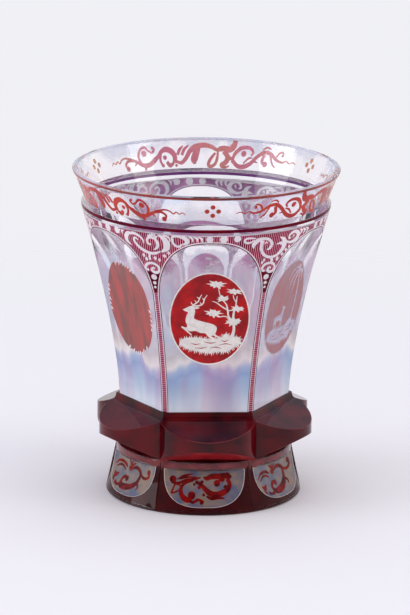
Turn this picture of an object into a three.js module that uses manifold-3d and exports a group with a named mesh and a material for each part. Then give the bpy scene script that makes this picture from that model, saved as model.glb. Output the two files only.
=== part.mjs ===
// Footed drinking glass in clear crystal and ruby glass, millimetres, +Z up.
// The origin is the middle of the foot's standing ring, and the front panel faces -Y.

import * as THREE from 'three';
import { mergeVertices } from 'three/addons/utils/BufferGeometryUtils.js';
import Module from 'manifold-3d';

const wasm = await Module();
wasm.setup();

// Panels, lobes and foot windows share one count
const panelCount = 6;
const sector = 2 * Math.PI / panelCount;
const halfSector = sector / 2;

// Heights of the stages, from the table up
const footHeight = 20.0;
const collarHeight = 19.2;
const bodyHeight = 75.8;
const ledgeHeight = 1.4;
const shoulderHeight = 1.7;
const neckHeight = 11.9;

// Outer radii of the stages
const footBaseRadius = 38.2;
const footTopRadius = 34.1;
const footEdgeBevel = 0.8;
const bodyBaseRadius = 33.1;
const ledgeRadius = 48.45;
const waistRadius = 47.4;
const lipRadius = 52.3;

// How fast each wall flares: 1 is a straight cone, more keeps it upright for longer
const footFlare = 1.4;
const bodyFlare = 1.45;
const neckFlare = 1.15;
const cupFlare = 1.75;

// Inside of the cup
const lipWall = 2.2;
const waistWall = 2.6;
const panelWall = 3.0;
const cupFloor = 5.0;
const cupCornerRadius = 7.0;
const lipRound = 0.7;

// Flat panels cut into the body, each with an arched top
const ribWidth = 2.8;
const archRise = 22.6;
const archBelowLedge = 4.4;
const archFullness = 2.5;

// Lobed collar: a ring of round lobes. The bevels meet an upright edge at each lobe's tip,
// where the upper one has dropped and the lower one has risen by the heights given here
const lobeCentreRadius = 24.6;
const lobeRadius = 20.2;
const seatMargin = 0.5;
const coveHeight = 2.6;
const coveReach = 1.4;
const lobeTopDrop = 5.3;
const lobeUnderRise = 7.45;
const collarFootApothem = 30.2;

// Windows cut into the foot, flat on top and round below, and turned a little out of
// line with the panels, as the cutter left them
const windowHalfWidth = 15.7;
const windowBelowCollar = 3.1;
const windowHeight = 13.9;
const windowFullness = 3.0;
const windowTurn = -2.2 * Math.PI / 180;

// Hollow ground under the foot, inside its standing ring
const standingRing = 6.0;
const baseHollowDepth = 2.6;

// Ruby layer over the clear glass
const rubyThickness = 0.4;
const clearance = 0.25;
const clearLineWidth = 1.0;
const rimLineWidth = 1.0;
const rimLineBelowLip = 0.9;
const footRubyAboveTable = 1.0;

// Oval medallions in the middle of the panels
const medallionWidth = 30.0;
const medallionHeight = 37.6;
const medallionCentre = 38.9;

// Fineness of the round and curved shapes
const roundSteps = 60;
const bodySteps = 8;
const panelSteps = 11;
const windowSteps = 6;
const slabSteps = 6;
const cupSteps = 7;
const lobeSteps = 16;
const ovalSteps = 32;
const footSteps = 4;
const neckSteps = 3;
const coveSteps = 4;
const lipSteps = 4;
const cornerSteps = 4;
const hollowSteps = 4;
const archCrowding = 1.5;
const weldDistance = 1e-5;

// Heights and depths worked out from the sizes above
const collarTop = footHeight + collarHeight;
const bodyTop = collarTop + bodyHeight;
const ledgeTop = bodyTop + ledgeHeight;
const waistLevel = ledgeTop + shoulderHeight;
const lipLevel = waistLevel + neckHeight;
const archTop = bodyTop - archBelowLedge;
const archSpring = archTop - archRise;
const cupFloorLevel = collarTop + cupFloor;
const rubyDepth = rubyThickness + clearance;
const lobeTip = lobeCentreRadius + lobeRadius;
const cutterReach = 2 * lipRadius;

// A share from 0 to 1 of the way from a to b
const share = (value, a, b) => Math.min(Math.max((value - a) / (b - a), 0), 1);
const between = (a, b, t) => a + (b - a) * t;

// Evenly spaced numbers from a to b, both included
const span = (a, b, steps) => Array.from({ length: steps + 1 }, (_, i) => between(a, b, i / steps));

// Outer radius at a height, from the body's foot to the lip
function outerRadius(z) {
  if (z <= bodyTop) {
    return between(bodyBaseRadius, ledgeRadius, share(z, collarTop, bodyTop) ** bodyFlare);
  }
  if (z <= ledgeTop) {
    return ledgeRadius;
  }
  if (z <= waistLevel) {
    return between(ledgeRadius, waistRadius, share(z, ledgeTop, waistLevel));
  }
  return between(waistRadius, lipRadius, share(z, waistLevel, lipLevel) ** neckFlare);
}

// Outer radius of the foot at a height: it spreads towards the table
function footRadius(z) {
  const drop = share(z, footHeight, footEdgeBevel);
  return between(footTopRadius, footBaseRadius, drop ** footFlare);
}

// Half the width of a body panel at a height: ribs stay even up to the springing,
// then the sides close as a full arch
function panelHalfWidth(z) {
  const rootHeight = Math.min(z, archSpring);
  const radius = outerRadius(rootHeight);
  const widest = radius * Math.sin(halfSector - ribWidth / (2 * radius));
  const climb = share(z, archSpring, archTop);
  return widest * (1 - climb ** archFullness) ** (1 / archFullness);
}

// Distance of a body panel's face from the axis: the flat whose edges meet the
// round body exactly along the arch
function panelDistance(z) {
  return Math.sqrt(outerRadius(z) ** 2 - panelHalfWidth(z) ** 2);
}

// Radius of the cup's inside: an even flare, never nearer to a panel than its wall
function cupRadius(z) {
  if (z >= waistLevel) {
    const wall = between(waistWall, lipWall, share(z, waistLevel, lipLevel));
    return outerRadius(z) - wall;
  }
  const foot = panelDistance(collarTop) - panelWall;
  const climb = share(z, cupFloorLevel, waistLevel);
  const flare = between(foot, waistRadius - waistWall, climb ** cupFlare);
  return z < archTop ? Math.min(flare, panelDistance(z) - panelWall) : flare;
}

// Half the width of a foot window at a height, and its face's distance from the axis
const windowTop = footHeight - windowBelowCollar;
const windowBottom = windowTop - windowHeight;

function windowHalf(z) {
  const drop = share(z, windowTop, windowBottom);
  return windowHalfWidth * (1 - drop ** windowFullness) ** (1 / windowFullness);
}

function windowDistance(z) {
  return Math.sqrt(footRadius(z) ** 2 - windowHalf(z) ** 2);
}

// A closed mesh as a solid that can be joined and cut
function toSolid(geometry) {
  geometry.deleteAttribute('normal');
  geometry.deleteAttribute('uv');
  const merged = mergeVertices(geometry, weldDistance);
  const corners = merged.index.array;
  const kept = [];
  for (let i = 0; i < corners.length; i += 3) {
    const [a, b, c] = corners.slice(i, i + 3);
    if (a !== b && b !== c && c !== a) {
      kept.push(a, b, c);
    }
  }
  const mesh = new wasm.Mesh({
    numProp: 3,
    vertProperties: new Float32Array(merged.attributes.position.array),
    triVerts: new Uint32Array(kept),
  });
  return new wasm.Manifold(mesh);
}

// A solid as a mesh geometry with flat shaded faces
function toGeometry(solid) {
  const mesh = solid.getMesh();
  const indexed = new THREE.BufferGeometry();
  indexed.setAttribute('position', new THREE.BufferAttribute(mesh.vertProperties, mesh.numProp));
  indexed.setIndex(new THREE.BufferAttribute(mesh.triVerts, 1));
  const geometry = indexed.toNonIndexed();
  geometry.computeVertexNormals();
  return geometry;
}

// A solid of revolution about Z from [radius, height] points, listed anticlockwise
function turned(points) {
  const profile = points.map(([radius, z]) => new THREE.Vector2(radius, z));
  const geometry = new THREE.LatheGeometry(profile, roundSteps);
  geometry.rotateX(Math.PI / 2);
  return toSolid(geometry);
}

// A prism from an outline of [x, y] points, pushed out along the third axis
function prism(outline, depth) {
  const shape = new THREE.Shape(outline.map(([x, y]) => new THREE.Vector2(x, y)));
  return new THREE.ExtrudeGeometry(shape, { depth, bevelEnabled: false });
}

// A prism whose outline is [distance from the axis, height] in the middle plane of
// sector i, as wide as the glass; i may lie between two whole sectors
function acrossPanel(outline, i) {
  const geometry = prism(outline, 2 * cutterReach);
  geometry.translate(0, 0, -cutterReach);
  const away = new THREE.Vector3(0, -1, 0);
  const up = new THREE.Vector3(0, 0, 1);
  const side = new THREE.Vector3(-1, 0, 0);
  geometry.applyMatrix4(new THREE.Matrix4().makeBasis(away, up, side));
  geometry.rotateZ(i * sector);
  return toSolid(geometry);
}

// A prism whose outline is [sideways, height], pushed outwards through panel i
function throughPanel(outline, i) {
  const geometry = prism(outline, cutterReach);
  const side = new THREE.Vector3(1, 0, 0);
  const up = new THREE.Vector3(0, 0, 1);
  const away = new THREE.Vector3(0, -1, 0);
  geometry.applyMatrix4(new THREE.Matrix4().makeBasis(side, up, away));
  geometry.rotateZ(i * sector);
  return toSolid(geometry);
}

// An outline between two curves of distance over height, for slabs and cutters
function slabOutline(heights, innerAt, outerAt) {
  const inner = heights.map((z) => [innerAt(z), z]);
  const outer = heights.map((z) => [outerAt(z), z]);
  return [...outer, ...inner.reverse()];
}

const sectors = Array.from({ length: panelCount }, (_, i) => i);
const subtractAll = (solid, cutters) => cutters.reduce((left, cutter) => left.subtract(cutter), solid);

// The cutters that leave the body's arched panels: the lower end runs past the
// body's foot, and the heights crowd towards the top, where the arch closes
const panelShares = span(0, 1, panelSteps).map((t) => 1 - (1 - t) ** archCrowding);
const panelHeights = panelShares.map((t) => between(collarTop, archTop, t));
const panelOutline = slabOutline(panelHeights, panelDistance, () => cutterReach);
panelOutline[0][1] -= cupFloor;
panelOutline[panelOutline.length - 1][1] -= cupFloor;
const panelCutters = sectors.map((i) => acrossPanel(panelOutline, i));

// The cutters that leave the foot's windows, whose heights crowd towards the bottom
const windowShares = span(0, 1, windowSteps).map((t) => t ** archCrowding);
const windowHeights = windowShares.map((t) => between(windowBottom, windowTop, t));
const windowOutline = slabOutline(windowHeights, windowDistance, () => cutterReach);
const windowCutters = sectors.map((i) => acrossPanel(windowOutline, i + windowTurn / sector));

// Heights where the ruby layer starts and ends on the bowl
const arcadeTop = bodyTop - clearLineWidth;
const rimLineTop = lipLevel - rimLineBelowLip;
const rimLineBottom = rimLineTop - rimLineWidth;

// A stretch of the bowl's outside, sunk by a depth where ruby glass lies over it
function outsideStretch(from, to, steps, sunk) {
  return span(from, to, steps).map((z) => [outerRadius(z) - sunk, z]);
}

// A ring of ruby glass flush with the outside between two heights
function rubyRing(radiusAt, from, to, steps) {
  const heights = span(from, to, steps);
  const outer = heights.map((z) => [radiusAt(z), z]);
  const inner = heights.map((z) => [radiusAt(z) - rubyThickness, z]).reverse();
  return turned([...outer, ...inner, outer[0]]);
}

// The oval of a medallion, grown by a margin, round the middle of a panel
function oval(margin) {
  const across = medallionWidth / 2 + margin;
  const along = medallionHeight / 2 + margin;
  const middle = collarTop + medallionCentre;
  return span(0, 2 * Math.PI, ovalSteps).slice(0, -1).map((turn) => [
    across * Math.cos(turn),
    middle + along * Math.sin(turn),
  ]);
}

// A slab that lies a given depth under the face of panel i and reaches out to a
// given distance, a little taller than the medallion
function panelSlab(innerDepth, outerDistance, i) {
  const middle = collarTop + medallionCentre;
  const reach = medallionHeight / 2 + 2 * clearance;
  const heights = span(middle - reach, middle + reach, slabSteps);
  const outline = slabOutline(heights, (z) => panelDistance(z) - innerDepth, outerDistance);
  return acrossPanel(outline, i);
}

// Clear bowl: round flared body, ledge and neck, hollow inside
function makeBowl() {
  const outside = [
    ...outsideStretch(collarTop, arcadeTop + clearance, bodySteps, rubyDepth),
    ...outsideStretch(arcadeTop + clearance, bodyTop - clearance, 1, 0),
    ...outsideStretch(bodyTop - clearance, ledgeTop + clearance, 1, rubyDepth),
    ...outsideStretch(ledgeTop + clearance, waistLevel, 1, 0),
    ...outsideStretch(waistLevel, rimLineBottom - clearance, neckSteps, 0).slice(1),
    ...outsideStretch(rimLineBottom - clearance, rimLineTop + clearance, 1, rubyDepth),
  ];
  const lipBase = lipLevel - lipRound;
  const lipMiddle = outerRadius(lipBase) - lipWall / 2;
  const lip = span(0, Math.PI, lipSteps).map((turn) => [
    lipMiddle + lipWall / 2 * Math.cos(turn),
    lipBase + lipRound * Math.sin(turn),
  ]);
  const neckInside = span(lipBase, waistLevel, neckSteps).slice(1).map((z) => [cupRadius(z), z]);
  const cornerTop = cupFloorLevel + cupCornerRadius;
  const cupInside = span(waistLevel, cornerTop, cupSteps).slice(1).map((z) => [cupRadius(z), z]);
  const cornerAxis = cupRadius(cornerTop) - cupCornerRadius;
  const corner = span(0, Math.PI / 2, cornerSteps).slice(1).map((turn) => [
    cornerAxis + cupCornerRadius * Math.cos(turn),
    cornerTop - cupCornerRadius * Math.sin(turn),
  ]);
  const blank = turned([
    [0, collarTop],
    ...outside,
    ...lip,
    ...neckInside,
    ...cupInside,
    ...corner,
    [0, cupFloorLevel],
  ]);
  const pockets = sectors.map((i) => {
    const slab = panelSlab(rubyDepth, () => cutterReach, i);
    return slab.intersect(throughPanel(oval(clearance), i));
  });
  return subtractAll(subtractAll(blank, panelCutters), pockets);
}

// Ruby layer left on the round body: the frieze, the spandrels and the ribs
function makeArcade() {
  const ring = rubyRing(outerRadius, collarTop, arcadeTop, bodySteps);
  return subtractAll(ring, panelCutters);
}

// Ruby oval let flush into the face of the front panel
function makeMedallion() {
  const slab = panelSlab(rubyThickness, panelDistance, 0);
  return slab.intersect(throughPanel(oval(0), 0));
}

// Ruby collar: round lobes on the panels, meeting in upright notches on the ribs,
// with a cove and a bevel above and a steeper bevel below
function makeCollar() {
  const notch = lobeCentreRadius * Math.cos(halfSector)
    + Math.sqrt(lobeRadius ** 2 - (lobeCentreRadius * Math.sin(halfSector)) ** 2);
  const sweep = Math.atan2(
    notch * Math.sin(halfSector),
    notch * Math.cos(halfSector) - lobeCentreRadius,
  );
  const outline = sectors.flatMap((i) => {
    const middle = i * sector - Math.PI / 2;
    return span(-sweep, sweep, lobeSteps).slice(0, -1).map((turn) => [
      lobeCentreRadius * Math.cos(middle) + lobeRadius * Math.cos(middle + turn),
      lobeCentreRadius * Math.sin(middle) + lobeRadius * Math.sin(middle + turn),
    ]);
  });
  const blank = prism(outline, collarHeight);
  blank.translate(0, 0, footHeight);

  const seat = panelDistance(collarTop) + seatMargin;
  const past = lobeTip + seatMargin;
  const cove = span(0, Math.PI / 2, coveSteps).map((turn) => [
    seat + coveReach * (1 - Math.cos(turn)),
    collarTop - coveHeight * Math.sin(turn),
  ]);
  const bevelStart = seat + coveReach;
  const topSlope = lobeTopDrop / (lobeTip - bevelStart);
  const underSlope = lobeUnderRise / (lobeTip - collarFootApothem);
  const section = [
    [-past, footHeight],
    [collarFootApothem, footHeight],
    [past, footHeight + underSlope * (past - collarFootApothem)],
    [past, collarTop - coveHeight - topSlope * (past - bevelStart)],
    ...cove.reverse(),
    [-past, collarTop],
  ];
  return sectors.reduce((left, i) => left.intersect(acrossPanel(section, i)), toSolid(blank));
}

// Clear foot: a spreading disc with a hollow ground underneath
function makeFoot() {
  const bareTop = footRubyAboveTable - clearance;
  const hollowRadius = footBaseRadius - footEdgeBevel - standingRing;
  const hollow = span(0, Math.PI / 2, hollowSteps).map((turn) => [
    hollowRadius * Math.sin(turn),
    baseHollowDepth * Math.cos(turn),
  ]);
  const side = span(bareTop, footHeight, footSteps).map((z) => [footRadius(z) - rubyDepth, z]);
  const blank = turned([
    ...hollow,
    [footBaseRadius - footEdgeBevel, 0],
    [footRadius(bareTop), bareTop],
    ...side,
    [0, footHeight],
  ]);
  return subtractAll(blank, windowCutters);
}

// Ruby layer over the foot, open at the windows
function makeFootRuby() {
  const ring = rubyRing(footRadius, footRubyAboveTable, footHeight, footSteps);
  return subtractAll(ring, windowCutters);
}

// Finishes: clear crystal, and ruby glass in a thin layer and in a thick mass
const crystal = new THREE.MeshStandardMaterial({ color: 0xe4e6f2, roughness: 0.05, metalness: 0 });
const ruby = new THREE.MeshStandardMaterial({ color: 0xa31621, roughness: 0.08, metalness: 0 });
const deepRuby = new THREE.MeshStandardMaterial({ color: 0x43060f, roughness: 0.06, metalness: 0 });

const glass = new THREE.Group();

// Adds one named piece to the glass, turned about the axis
function addPiece(name, geometry, material, turn = 0) {
  const mesh = new THREE.Mesh(geometry, material);
  mesh.name = name;
  mesh.rotation.z = turn;
  glass.add(mesh);
}

addPiece('foot', toGeometry(makeFoot()), crystal);
addPiece('foot_ruby', toGeometry(makeFootRuby()), ruby);
addPiece('collar', toGeometry(makeCollar()), deepRuby);
addPiece('bowl', toGeometry(makeBowl()), crystal);
addPiece('arcade_ruby', toGeometry(makeArcade()), ruby);
addPiece('ledge_line', toGeometry(rubyRing(outerRadius, bodyTop, ledgeTop, 1)), ruby);
addPiece('rim_line', toGeometry(rubyRing(outerRadius, rimLineBottom, rimLineTop, 1)), ruby);
const medallion = toGeometry(makeMedallion());
sectors.forEach((i) => addPiece(`medallion_${i + 1}`, medallion, ruby, i * sector));

export default glass;
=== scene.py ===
"""Footed drinking glass in clear crystal, stained ruby, cut and engraved.

Shapes are worked out in millimetres and made into meshes in metres, +Z up, front panel to -Y.
The bowl, collar and foot are closed bodies of glass. Stained and engraved work is a thin closed
layer whose outer face lies a hair over the surface of the glass and whose inner face lies in it,
as a fired stain does. It is drawn flat and then laid on the glass.
"""
import logging
from collections.abc import Callable, Sequence
from dataclasses import dataclass
from enum import IntEnum

import bpy
import numpy as np
from mathutils import Euler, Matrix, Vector, geometry


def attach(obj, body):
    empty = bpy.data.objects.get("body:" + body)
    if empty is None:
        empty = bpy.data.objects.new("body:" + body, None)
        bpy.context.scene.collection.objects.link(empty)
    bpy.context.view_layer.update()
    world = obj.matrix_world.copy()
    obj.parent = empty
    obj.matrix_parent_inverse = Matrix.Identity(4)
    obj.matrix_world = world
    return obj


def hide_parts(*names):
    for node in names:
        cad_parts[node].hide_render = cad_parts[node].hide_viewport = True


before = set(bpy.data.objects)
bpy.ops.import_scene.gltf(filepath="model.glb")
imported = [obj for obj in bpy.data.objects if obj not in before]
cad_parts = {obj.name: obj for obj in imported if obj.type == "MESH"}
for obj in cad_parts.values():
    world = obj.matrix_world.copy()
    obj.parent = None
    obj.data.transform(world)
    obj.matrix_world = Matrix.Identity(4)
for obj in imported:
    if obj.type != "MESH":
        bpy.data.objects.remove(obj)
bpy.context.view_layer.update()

MM = 0.001
PANELS = 6
SECTOR = 2 * np.pi / PANELS
FRONT = -np.pi / 2
# A layer's outer face lies this far proud of the glass, and its inner face this far in it
LAYER_PROUD = 0.04
LAYER_SUNK = 0.07
# A layer's corners that lie nearer than this are made one
WELD_GAP = 2e-3
# Drawn points that lie nearer than this are made one, and flatter triangles than this are dropped
DRAWN_GAP = 1e-4
LEAST_AREA = 1e-7
# The collar and the foot reach this far into what stands on them
JOINT_OVERLAP = 0.06
# How strongly rows of corners crowd towards an arch's top, and towards a window's bottom
ARCH_CROWDING = 2.6
WINDOW_CROWDING = 2.4
# What a drawing without separate straight edges gives for them
NO_LINES = np.empty((0, 4))
log = logging.getLogger("glass")

Points = np.ndarray
Place = Callable[[Points, float], Points]
Route = Sequence[Sequence[float]]


class Cover(IntEnum):
    """What a patch of a layer is, in the order of the layer's material slots."""

    NONE = -1
    RUBY = 0
    ENGRAVED = 1
    CLEAR = 2
    BEHIND = 3
    # stain that the wheel skimmed; over the foot's windows it marks a painted reflection
    THINNED_AND_SHEEN = 4


# Sizes and profiles


def share(value: Points, a: float, b: float) -> Points:
    """The share from 0 to 1 of the way from a to b."""
    return np.clip((np.asarray(value, float) - a) / (b - a), 0.0, 1.0)


def crowded(low: float, high: float, count: int, power: float) -> Points:
    """Heights from low to high that crowd towards high: what is left to go falls as a power."""
    return low + (high - low) * (1 - (1 - np.linspace(0, 1, count)) ** power)


@dataclass(frozen=True)
class Form:
    """Heights, radii and cuts of the glass in mm, the same as the frame's."""

    foot_height: float = 20.0
    collar_height: float = 19.2
    body_height: float = 75.8
    ledge_height: float = 1.4
    shoulder_height: float = 1.7
    neck_height: float = 11.9
    foot_base_radius: float = 38.2
    foot_top_radius: float = 34.1
    foot_edge_bevel: float = 0.8
    body_base_radius: float = 33.1
    ledge_radius: float = 48.45
    waist_radius: float = 47.4
    lip_radius: float = 52.3
    foot_flare: float = 1.4
    body_flare: float = 1.45
    neck_flare: float = 1.15
    cup_flare: float = 1.75
    lip_wall: float = 2.2
    waist_wall: float = 2.6
    panel_wall: float = 3.0
    cup_floor: float = 5.0
    cup_corner_radius: float = 7.0
    lip_round: float = 0.7
    rib_width: float = 2.8
    arch_rise: float = 22.6
    arch_below_ledge: float = 4.4
    arch_fullness: float = 2.5
    window_half_width: float = 15.7
    window_below_collar: float = 3.1
    window_height: float = 13.9
    window_fullness: float = 3.0
    window_turn: float = -2.2
    clear_line: float = 1.0
    foot_ruby_above_table: float = 1.0
    medallion_width: float = 30.0
    medallion_height: float = 37.6
    medallion_centre: float = 38.9

    @property
    def collar_top(self) -> float:
        """Height of the collar's top, where the bowl starts."""
        return self.foot_height + self.collar_height

    @property
    def body_top(self) -> float:
        """Height of the ledge's lower edge."""
        return self.collar_top + self.body_height

    @property
    def ledge_top(self) -> float:
        """Height of the ledge's upper edge."""
        return self.body_top + self.ledge_height

    @property
    def waist(self) -> float:
        """Height of the neck's foot."""
        return self.ledge_top + self.shoulder_height

    @property
    def lip(self) -> float:
        """Height of the lip."""
        return self.waist + self.neck_height

    @property
    def arch_top(self) -> float:
        """Height of the top of a panel's arch."""
        return self.body_top - self.arch_below_ledge

    @property
    def arch_spring(self) -> float:
        """Height where a panel's sides start to close."""
        return self.arch_top - self.arch_rise

    @property
    def window_top(self) -> float:
        """Height of the flat top of a foot window."""
        return self.foot_height - self.window_below_collar

    @property
    def window_bottom(self) -> float:
        """Height of the round bottom of a foot window."""
        return self.window_top - self.window_height

    @property
    def medallion_level(self) -> float:
        """Height of the medallions' centres."""
        return self.collar_top + self.medallion_centre

    def outer_radius(self, z: Points) -> Points:
        """Outer radius of the bowl: a power curve up the body, an upright ledge, a straight
        shoulder, and a power curve out to the lip.

        Args:
            z: heights.

        Returns:
            The radius at each.
        """
        z = np.asarray(z, float)
        body = share(z, self.collar_top, self.body_top) ** self.body_flare
        neck = share(z, self.waist, self.lip) ** self.neck_flare
        shoulder = share(z, self.ledge_top, self.waist)
        radius = self.body_base_radius + (self.ledge_radius - self.body_base_radius) * body
        radius = radius - (self.ledge_radius - self.waist_radius) * shoulder
        return radius + (self.lip_radius - self.waist_radius) * neck

    def lip_curve(self, turn: Points) -> tuple[Points, Points]:
        """The lip's rounded edge, half an ellipse over the wall.

        Args:
            turn: angles about its middle, from the outer side over the top.

        Returns:
            The radius and the height at each.
        """
        foot = self.lip - self.lip_round
        middle = self.outer_radius(foot) - self.lip_wall / 2
        return middle + self.lip_wall / 2 * np.cos(turn), foot + self.lip_round * np.sin(turn)

    def foot_radius(self, z: Points) -> Points:
        """Outer radius of the foot, spreading towards the table by a power curve."""
        drop = share(z, self.foot_height, self.foot_edge_bevel) ** self.foot_flare
        return self.foot_top_radius + (self.foot_base_radius - self.foot_top_radius) * drop

    def panel_half(self, z: Points) -> Points:
        """Half the width of a panel: an even rib up to the springing, then a full arch, which is
        a superellipse.

        Args:
            z: heights.

        Returns:
            The half width at each.
        """
        z = np.asarray(z, float)
        radius = self.outer_radius(np.minimum(z, self.arch_spring))
        widest = radius * np.sin(SECTOR / 2 - self.rib_width / (2 * radius))
        climb = share(z, self.arch_spring, self.arch_top)
        return widest * (1 - climb**self.arch_fullness) ** (1 / self.arch_fullness)

    def panel_distance(self, z: Points) -> Points:
        """Distance of a panel's face from the axis, so that its edges lie on the round body."""
        return np.sqrt(self.outer_radius(z) ** 2 - self.panel_half(z) ** 2)

    def cup_radius(self, z: Points) -> Points:
        """Inner radius of the cup: a power curve, kept a wall's width behind the panels, and a
        wall's width inside the neck.

        Args:
            z: heights.

        Returns:
            The radius at each.
        """
        z = np.asarray(z, float)
        floor = self.collar_top + self.cup_floor
        foot = self.panel_distance(self.collar_top) - self.panel_wall
        climb = share(z, floor, self.waist) ** self.cup_flare
        flare = foot + (self.waist_radius - self.waist_wall - foot) * climb
        behind = self.panel_distance(np.minimum(z, self.arch_top)) - self.panel_wall
        body = np.where(z < self.arch_top, np.minimum(flare, behind), flare)
        wall = self.waist_wall - (self.waist_wall - self.lip_wall) * share(z, self.waist, self.lip)
        return np.where(z >= self.waist, self.outer_radius(z) - wall, body)

    def window_half(self, z: Points) -> Points:
        """Half the width of a foot window, flat on top and round below."""
        drop = share(z, self.window_top, self.window_bottom)
        return self.window_half_width * (1 - drop**self.window_fullness) ** (1 / self.window_fullness)

    def window_distance(self, z: Points) -> Points:
        """Distance of a window's face from the axis, so that its edges lie on the round foot."""
        return np.sqrt(self.foot_radius(z) ** 2 - self.window_half(z) ** 2)


# Drawing in two dimensions, for the stained and engraved work


def smooth_line(points: Route, steps: int = 6) -> Points:
    """A curve through the points: each span is a cubic whose slope at a point is half the way
    from the point before to the point after.

    Args:
        points: what it runs through.
        steps: how finely each span is drawn.

    Returns:
        The curve's points.
    """
    p = np.asarray(points, float)
    p = np.vstack([2 * p[0] - p[1], p, 2 * p[-1] - p[-2]])
    t = np.linspace(0, 1, steps, endpoint=False)[:, None]
    spans = [
        0.5
        * (
            2 * b
            + (c - a) * t
            + (2 * a - 5 * b + 4 * c - d) * t**2
            + (3 * b - a - 3 * c + d) * t**3
        )
        for a, b, c, d in zip(p[:-3], p[1:-2], p[2:-1], p[3:])
    ]
    return np.vstack([*spans, p[-2:-1]])


def stroke(points: Route, widths: Sequence[float], thinnest: float = 0.08) -> Points:
    """The outline of a line of changing width.

    Args:
        points: what the middle of the line runs through.
        widths: widths evenly spread along the line.
        thinnest: the width that it keeps at least.

    Returns:
        The curve pushed half its width to each side, as one closed outline.
    """
    line = smooth_line(points)
    along = np.gradient(line, axis=0)
    along /= np.linalg.norm(along, axis=1)[:, None] + 1e-9
    side = np.column_stack([-along[:, 1], along[:, 0]])
    at = np.linspace(0, 1, len(line))
    half = np.interp(at, np.linspace(0, 1, len(widths)), widths)[:, None] / 2
    half = np.maximum(half, thinnest / 2)
    return np.vstack([line + side * half, (line - side * half)[::-1]])


def disc(centre: Sequence[float], radius: float, count: int = 14, tall: float = 1.0) -> Points:
    """A round dot, or an oval one.

    Args:
        centre: its middle.
        radius: half its width.
        count: how many points it has.
        tall: its height over its width.

    Returns:
        Its outline.
    """
    angle = np.linspace(0, 2 * np.pi, count, endpoint=False)
    return np.column_stack([
        centre[0] + radius * np.cos(angle),
        centre[1] + radius * tall * np.sin(angle),
    ])


def burst(centre: Sequence[float], wide: float, tall: float, spikes: int, turn: float) -> Points:
    """A tuft of foliage: a ring of points whose radius jumps between tips and hollows, each a
    little uneven by a sine or cosine of its number.

    Args:
        centre: its middle.
        wide: half its width.
        tall: half its height.
        spikes: how many tips it has.
        turn: how far it is turned, in degrees.

    Returns:
        Its outline.
    """
    angle = np.linspace(0, 2 * np.pi, 2 * spikes, endpoint=False) + np.radians(turn)
    k = np.arange(2 * spikes)
    tips = 0.84 + 0.2 * np.cos(2.3 * k + turn)
    hollows = 0.5 + 0.08 * np.sin(1.7 * k)
    radius = np.where(k % 2 == 0, tips, hollows)
    return np.column_stack([
        centre[0] + wide * radius * np.cos(angle),
        centre[1] + tall * radius * np.sin(angle),
    ])


def grass(edge: Route, height: float, step: float, lean: float) -> Points:
    """A jagged edge along a line: every second point stands off it as a blade's tip, each a
    little uneven by a sine of its number.

    Args:
        edge: what the line runs through.
        height: the tallest blade, and the side of the line that it stands on.
        step: how far apart the blades are.
        lean: how far a tip leans along the line, as a share of its height.

    Returns:
        The edge's points.
    """
    line = smooth_line(edge, 8)
    length = np.concatenate([[0], np.cumsum(np.linalg.norm(np.diff(line, axis=0), axis=1))])
    at = np.arange(0, length[-1], step / 2)
    base = np.column_stack([np.interp(at, length, line[:, i]) for i in (0, 1)])
    along = np.gradient(base, axis=0)
    along /= np.linalg.norm(along, axis=1)[:, None]
    out = np.column_stack([-along[:, 1], along[:, 0]])
    k = np.arange(len(at))
    uneven = 0.7 + 0.3 * np.sin(2.1 * k)
    tall = np.where(k % 2 == 1, height * uneven, 0.0)[:, None]
    return base + tall * (out + lean * along)


def mirrored(outlines: Sequence[Points]) -> list[Points]:
    """The outlines turned left to right."""
    return [(o * (-1, 1))[::-1] for o in outlines]


def both_sides(half: Points, z: Points) -> Points:
    """A closed outline that is alike on both sides, from half widths up from a point at 0."""
    right = np.column_stack([half, z])
    return np.vstack([right, (right * (-1, 1))[::-1][:-1]])


def moved(
    outlines: Sequence[Points], shift: Sequence[float], scale: Sequence[float] = (1.0, 1.0)
) -> list[Points]:
    """The outlines made larger by scale, across and up, and then moved by shift."""
    return [o * scale + np.asarray(shift, float) for o in outlines]


def grown(outline: Points, margin: float) -> Points:
    """A larger outline: every point is pushed square to the line between its two neighbours.

    Args:
        outline: a closed outline.
        margin: how far it grows.

    Returns:
        The larger outline.
    """
    along = np.roll(outline, -1, axis=0) - np.roll(outline, 1, axis=0)
    along /= np.linalg.norm(along, axis=1)[:, None] + 1e-9
    following = np.roll(outline, -1, axis=0)
    area = np.sum(outline[:, 0] * following[:, 1] - following[:, 0] * outline[:, 1])
    out = np.column_stack([along[:, 1], -along[:, 0]]) * np.sign(area)
    return outline + out * margin


def inside(points: Points, outline: Points) -> Points:
    """Whether points lie in an outline, by counting the edges that pass them on the right.

    Args:
        points: the points.
        outline: a closed outline, which may cross itself.

    Returns:
        True for each point that the outline winds round.
    """
    low, high = outline.min(0), outline.max(0)
    near = np.flatnonzero(np.all((points > low) & (points < high), axis=1))
    found = np.zeros(len(points), bool)
    x, y = points[near, 0:1], points[near, 1:2]
    x0, y0 = outline.T
    x1, y1 = np.roll(outline, -1, axis=0).T
    left = (x1 - x0) * (y - y0) - (x - x0) * (y1 - y0)
    up = ((y0 <= y) & (y1 > y) & (left > 0)).sum(1)
    down = ((y0 > y) & (y1 <= y) & (left < 0)).sum(1)
    found[near] = up != down
    return found


def inside_any(points: Points, outlines: Sequence[Points]) -> Points:
    """Whether points lie in any of some outlines.

    Args:
        points: the points.
        outlines: closed outlines.

    Returns:
        True for each point that lies in one of them.
    """
    found = np.zeros(len(points), bool)
    for outline in outlines:
        found |= inside(points, outline)
    return found


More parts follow.
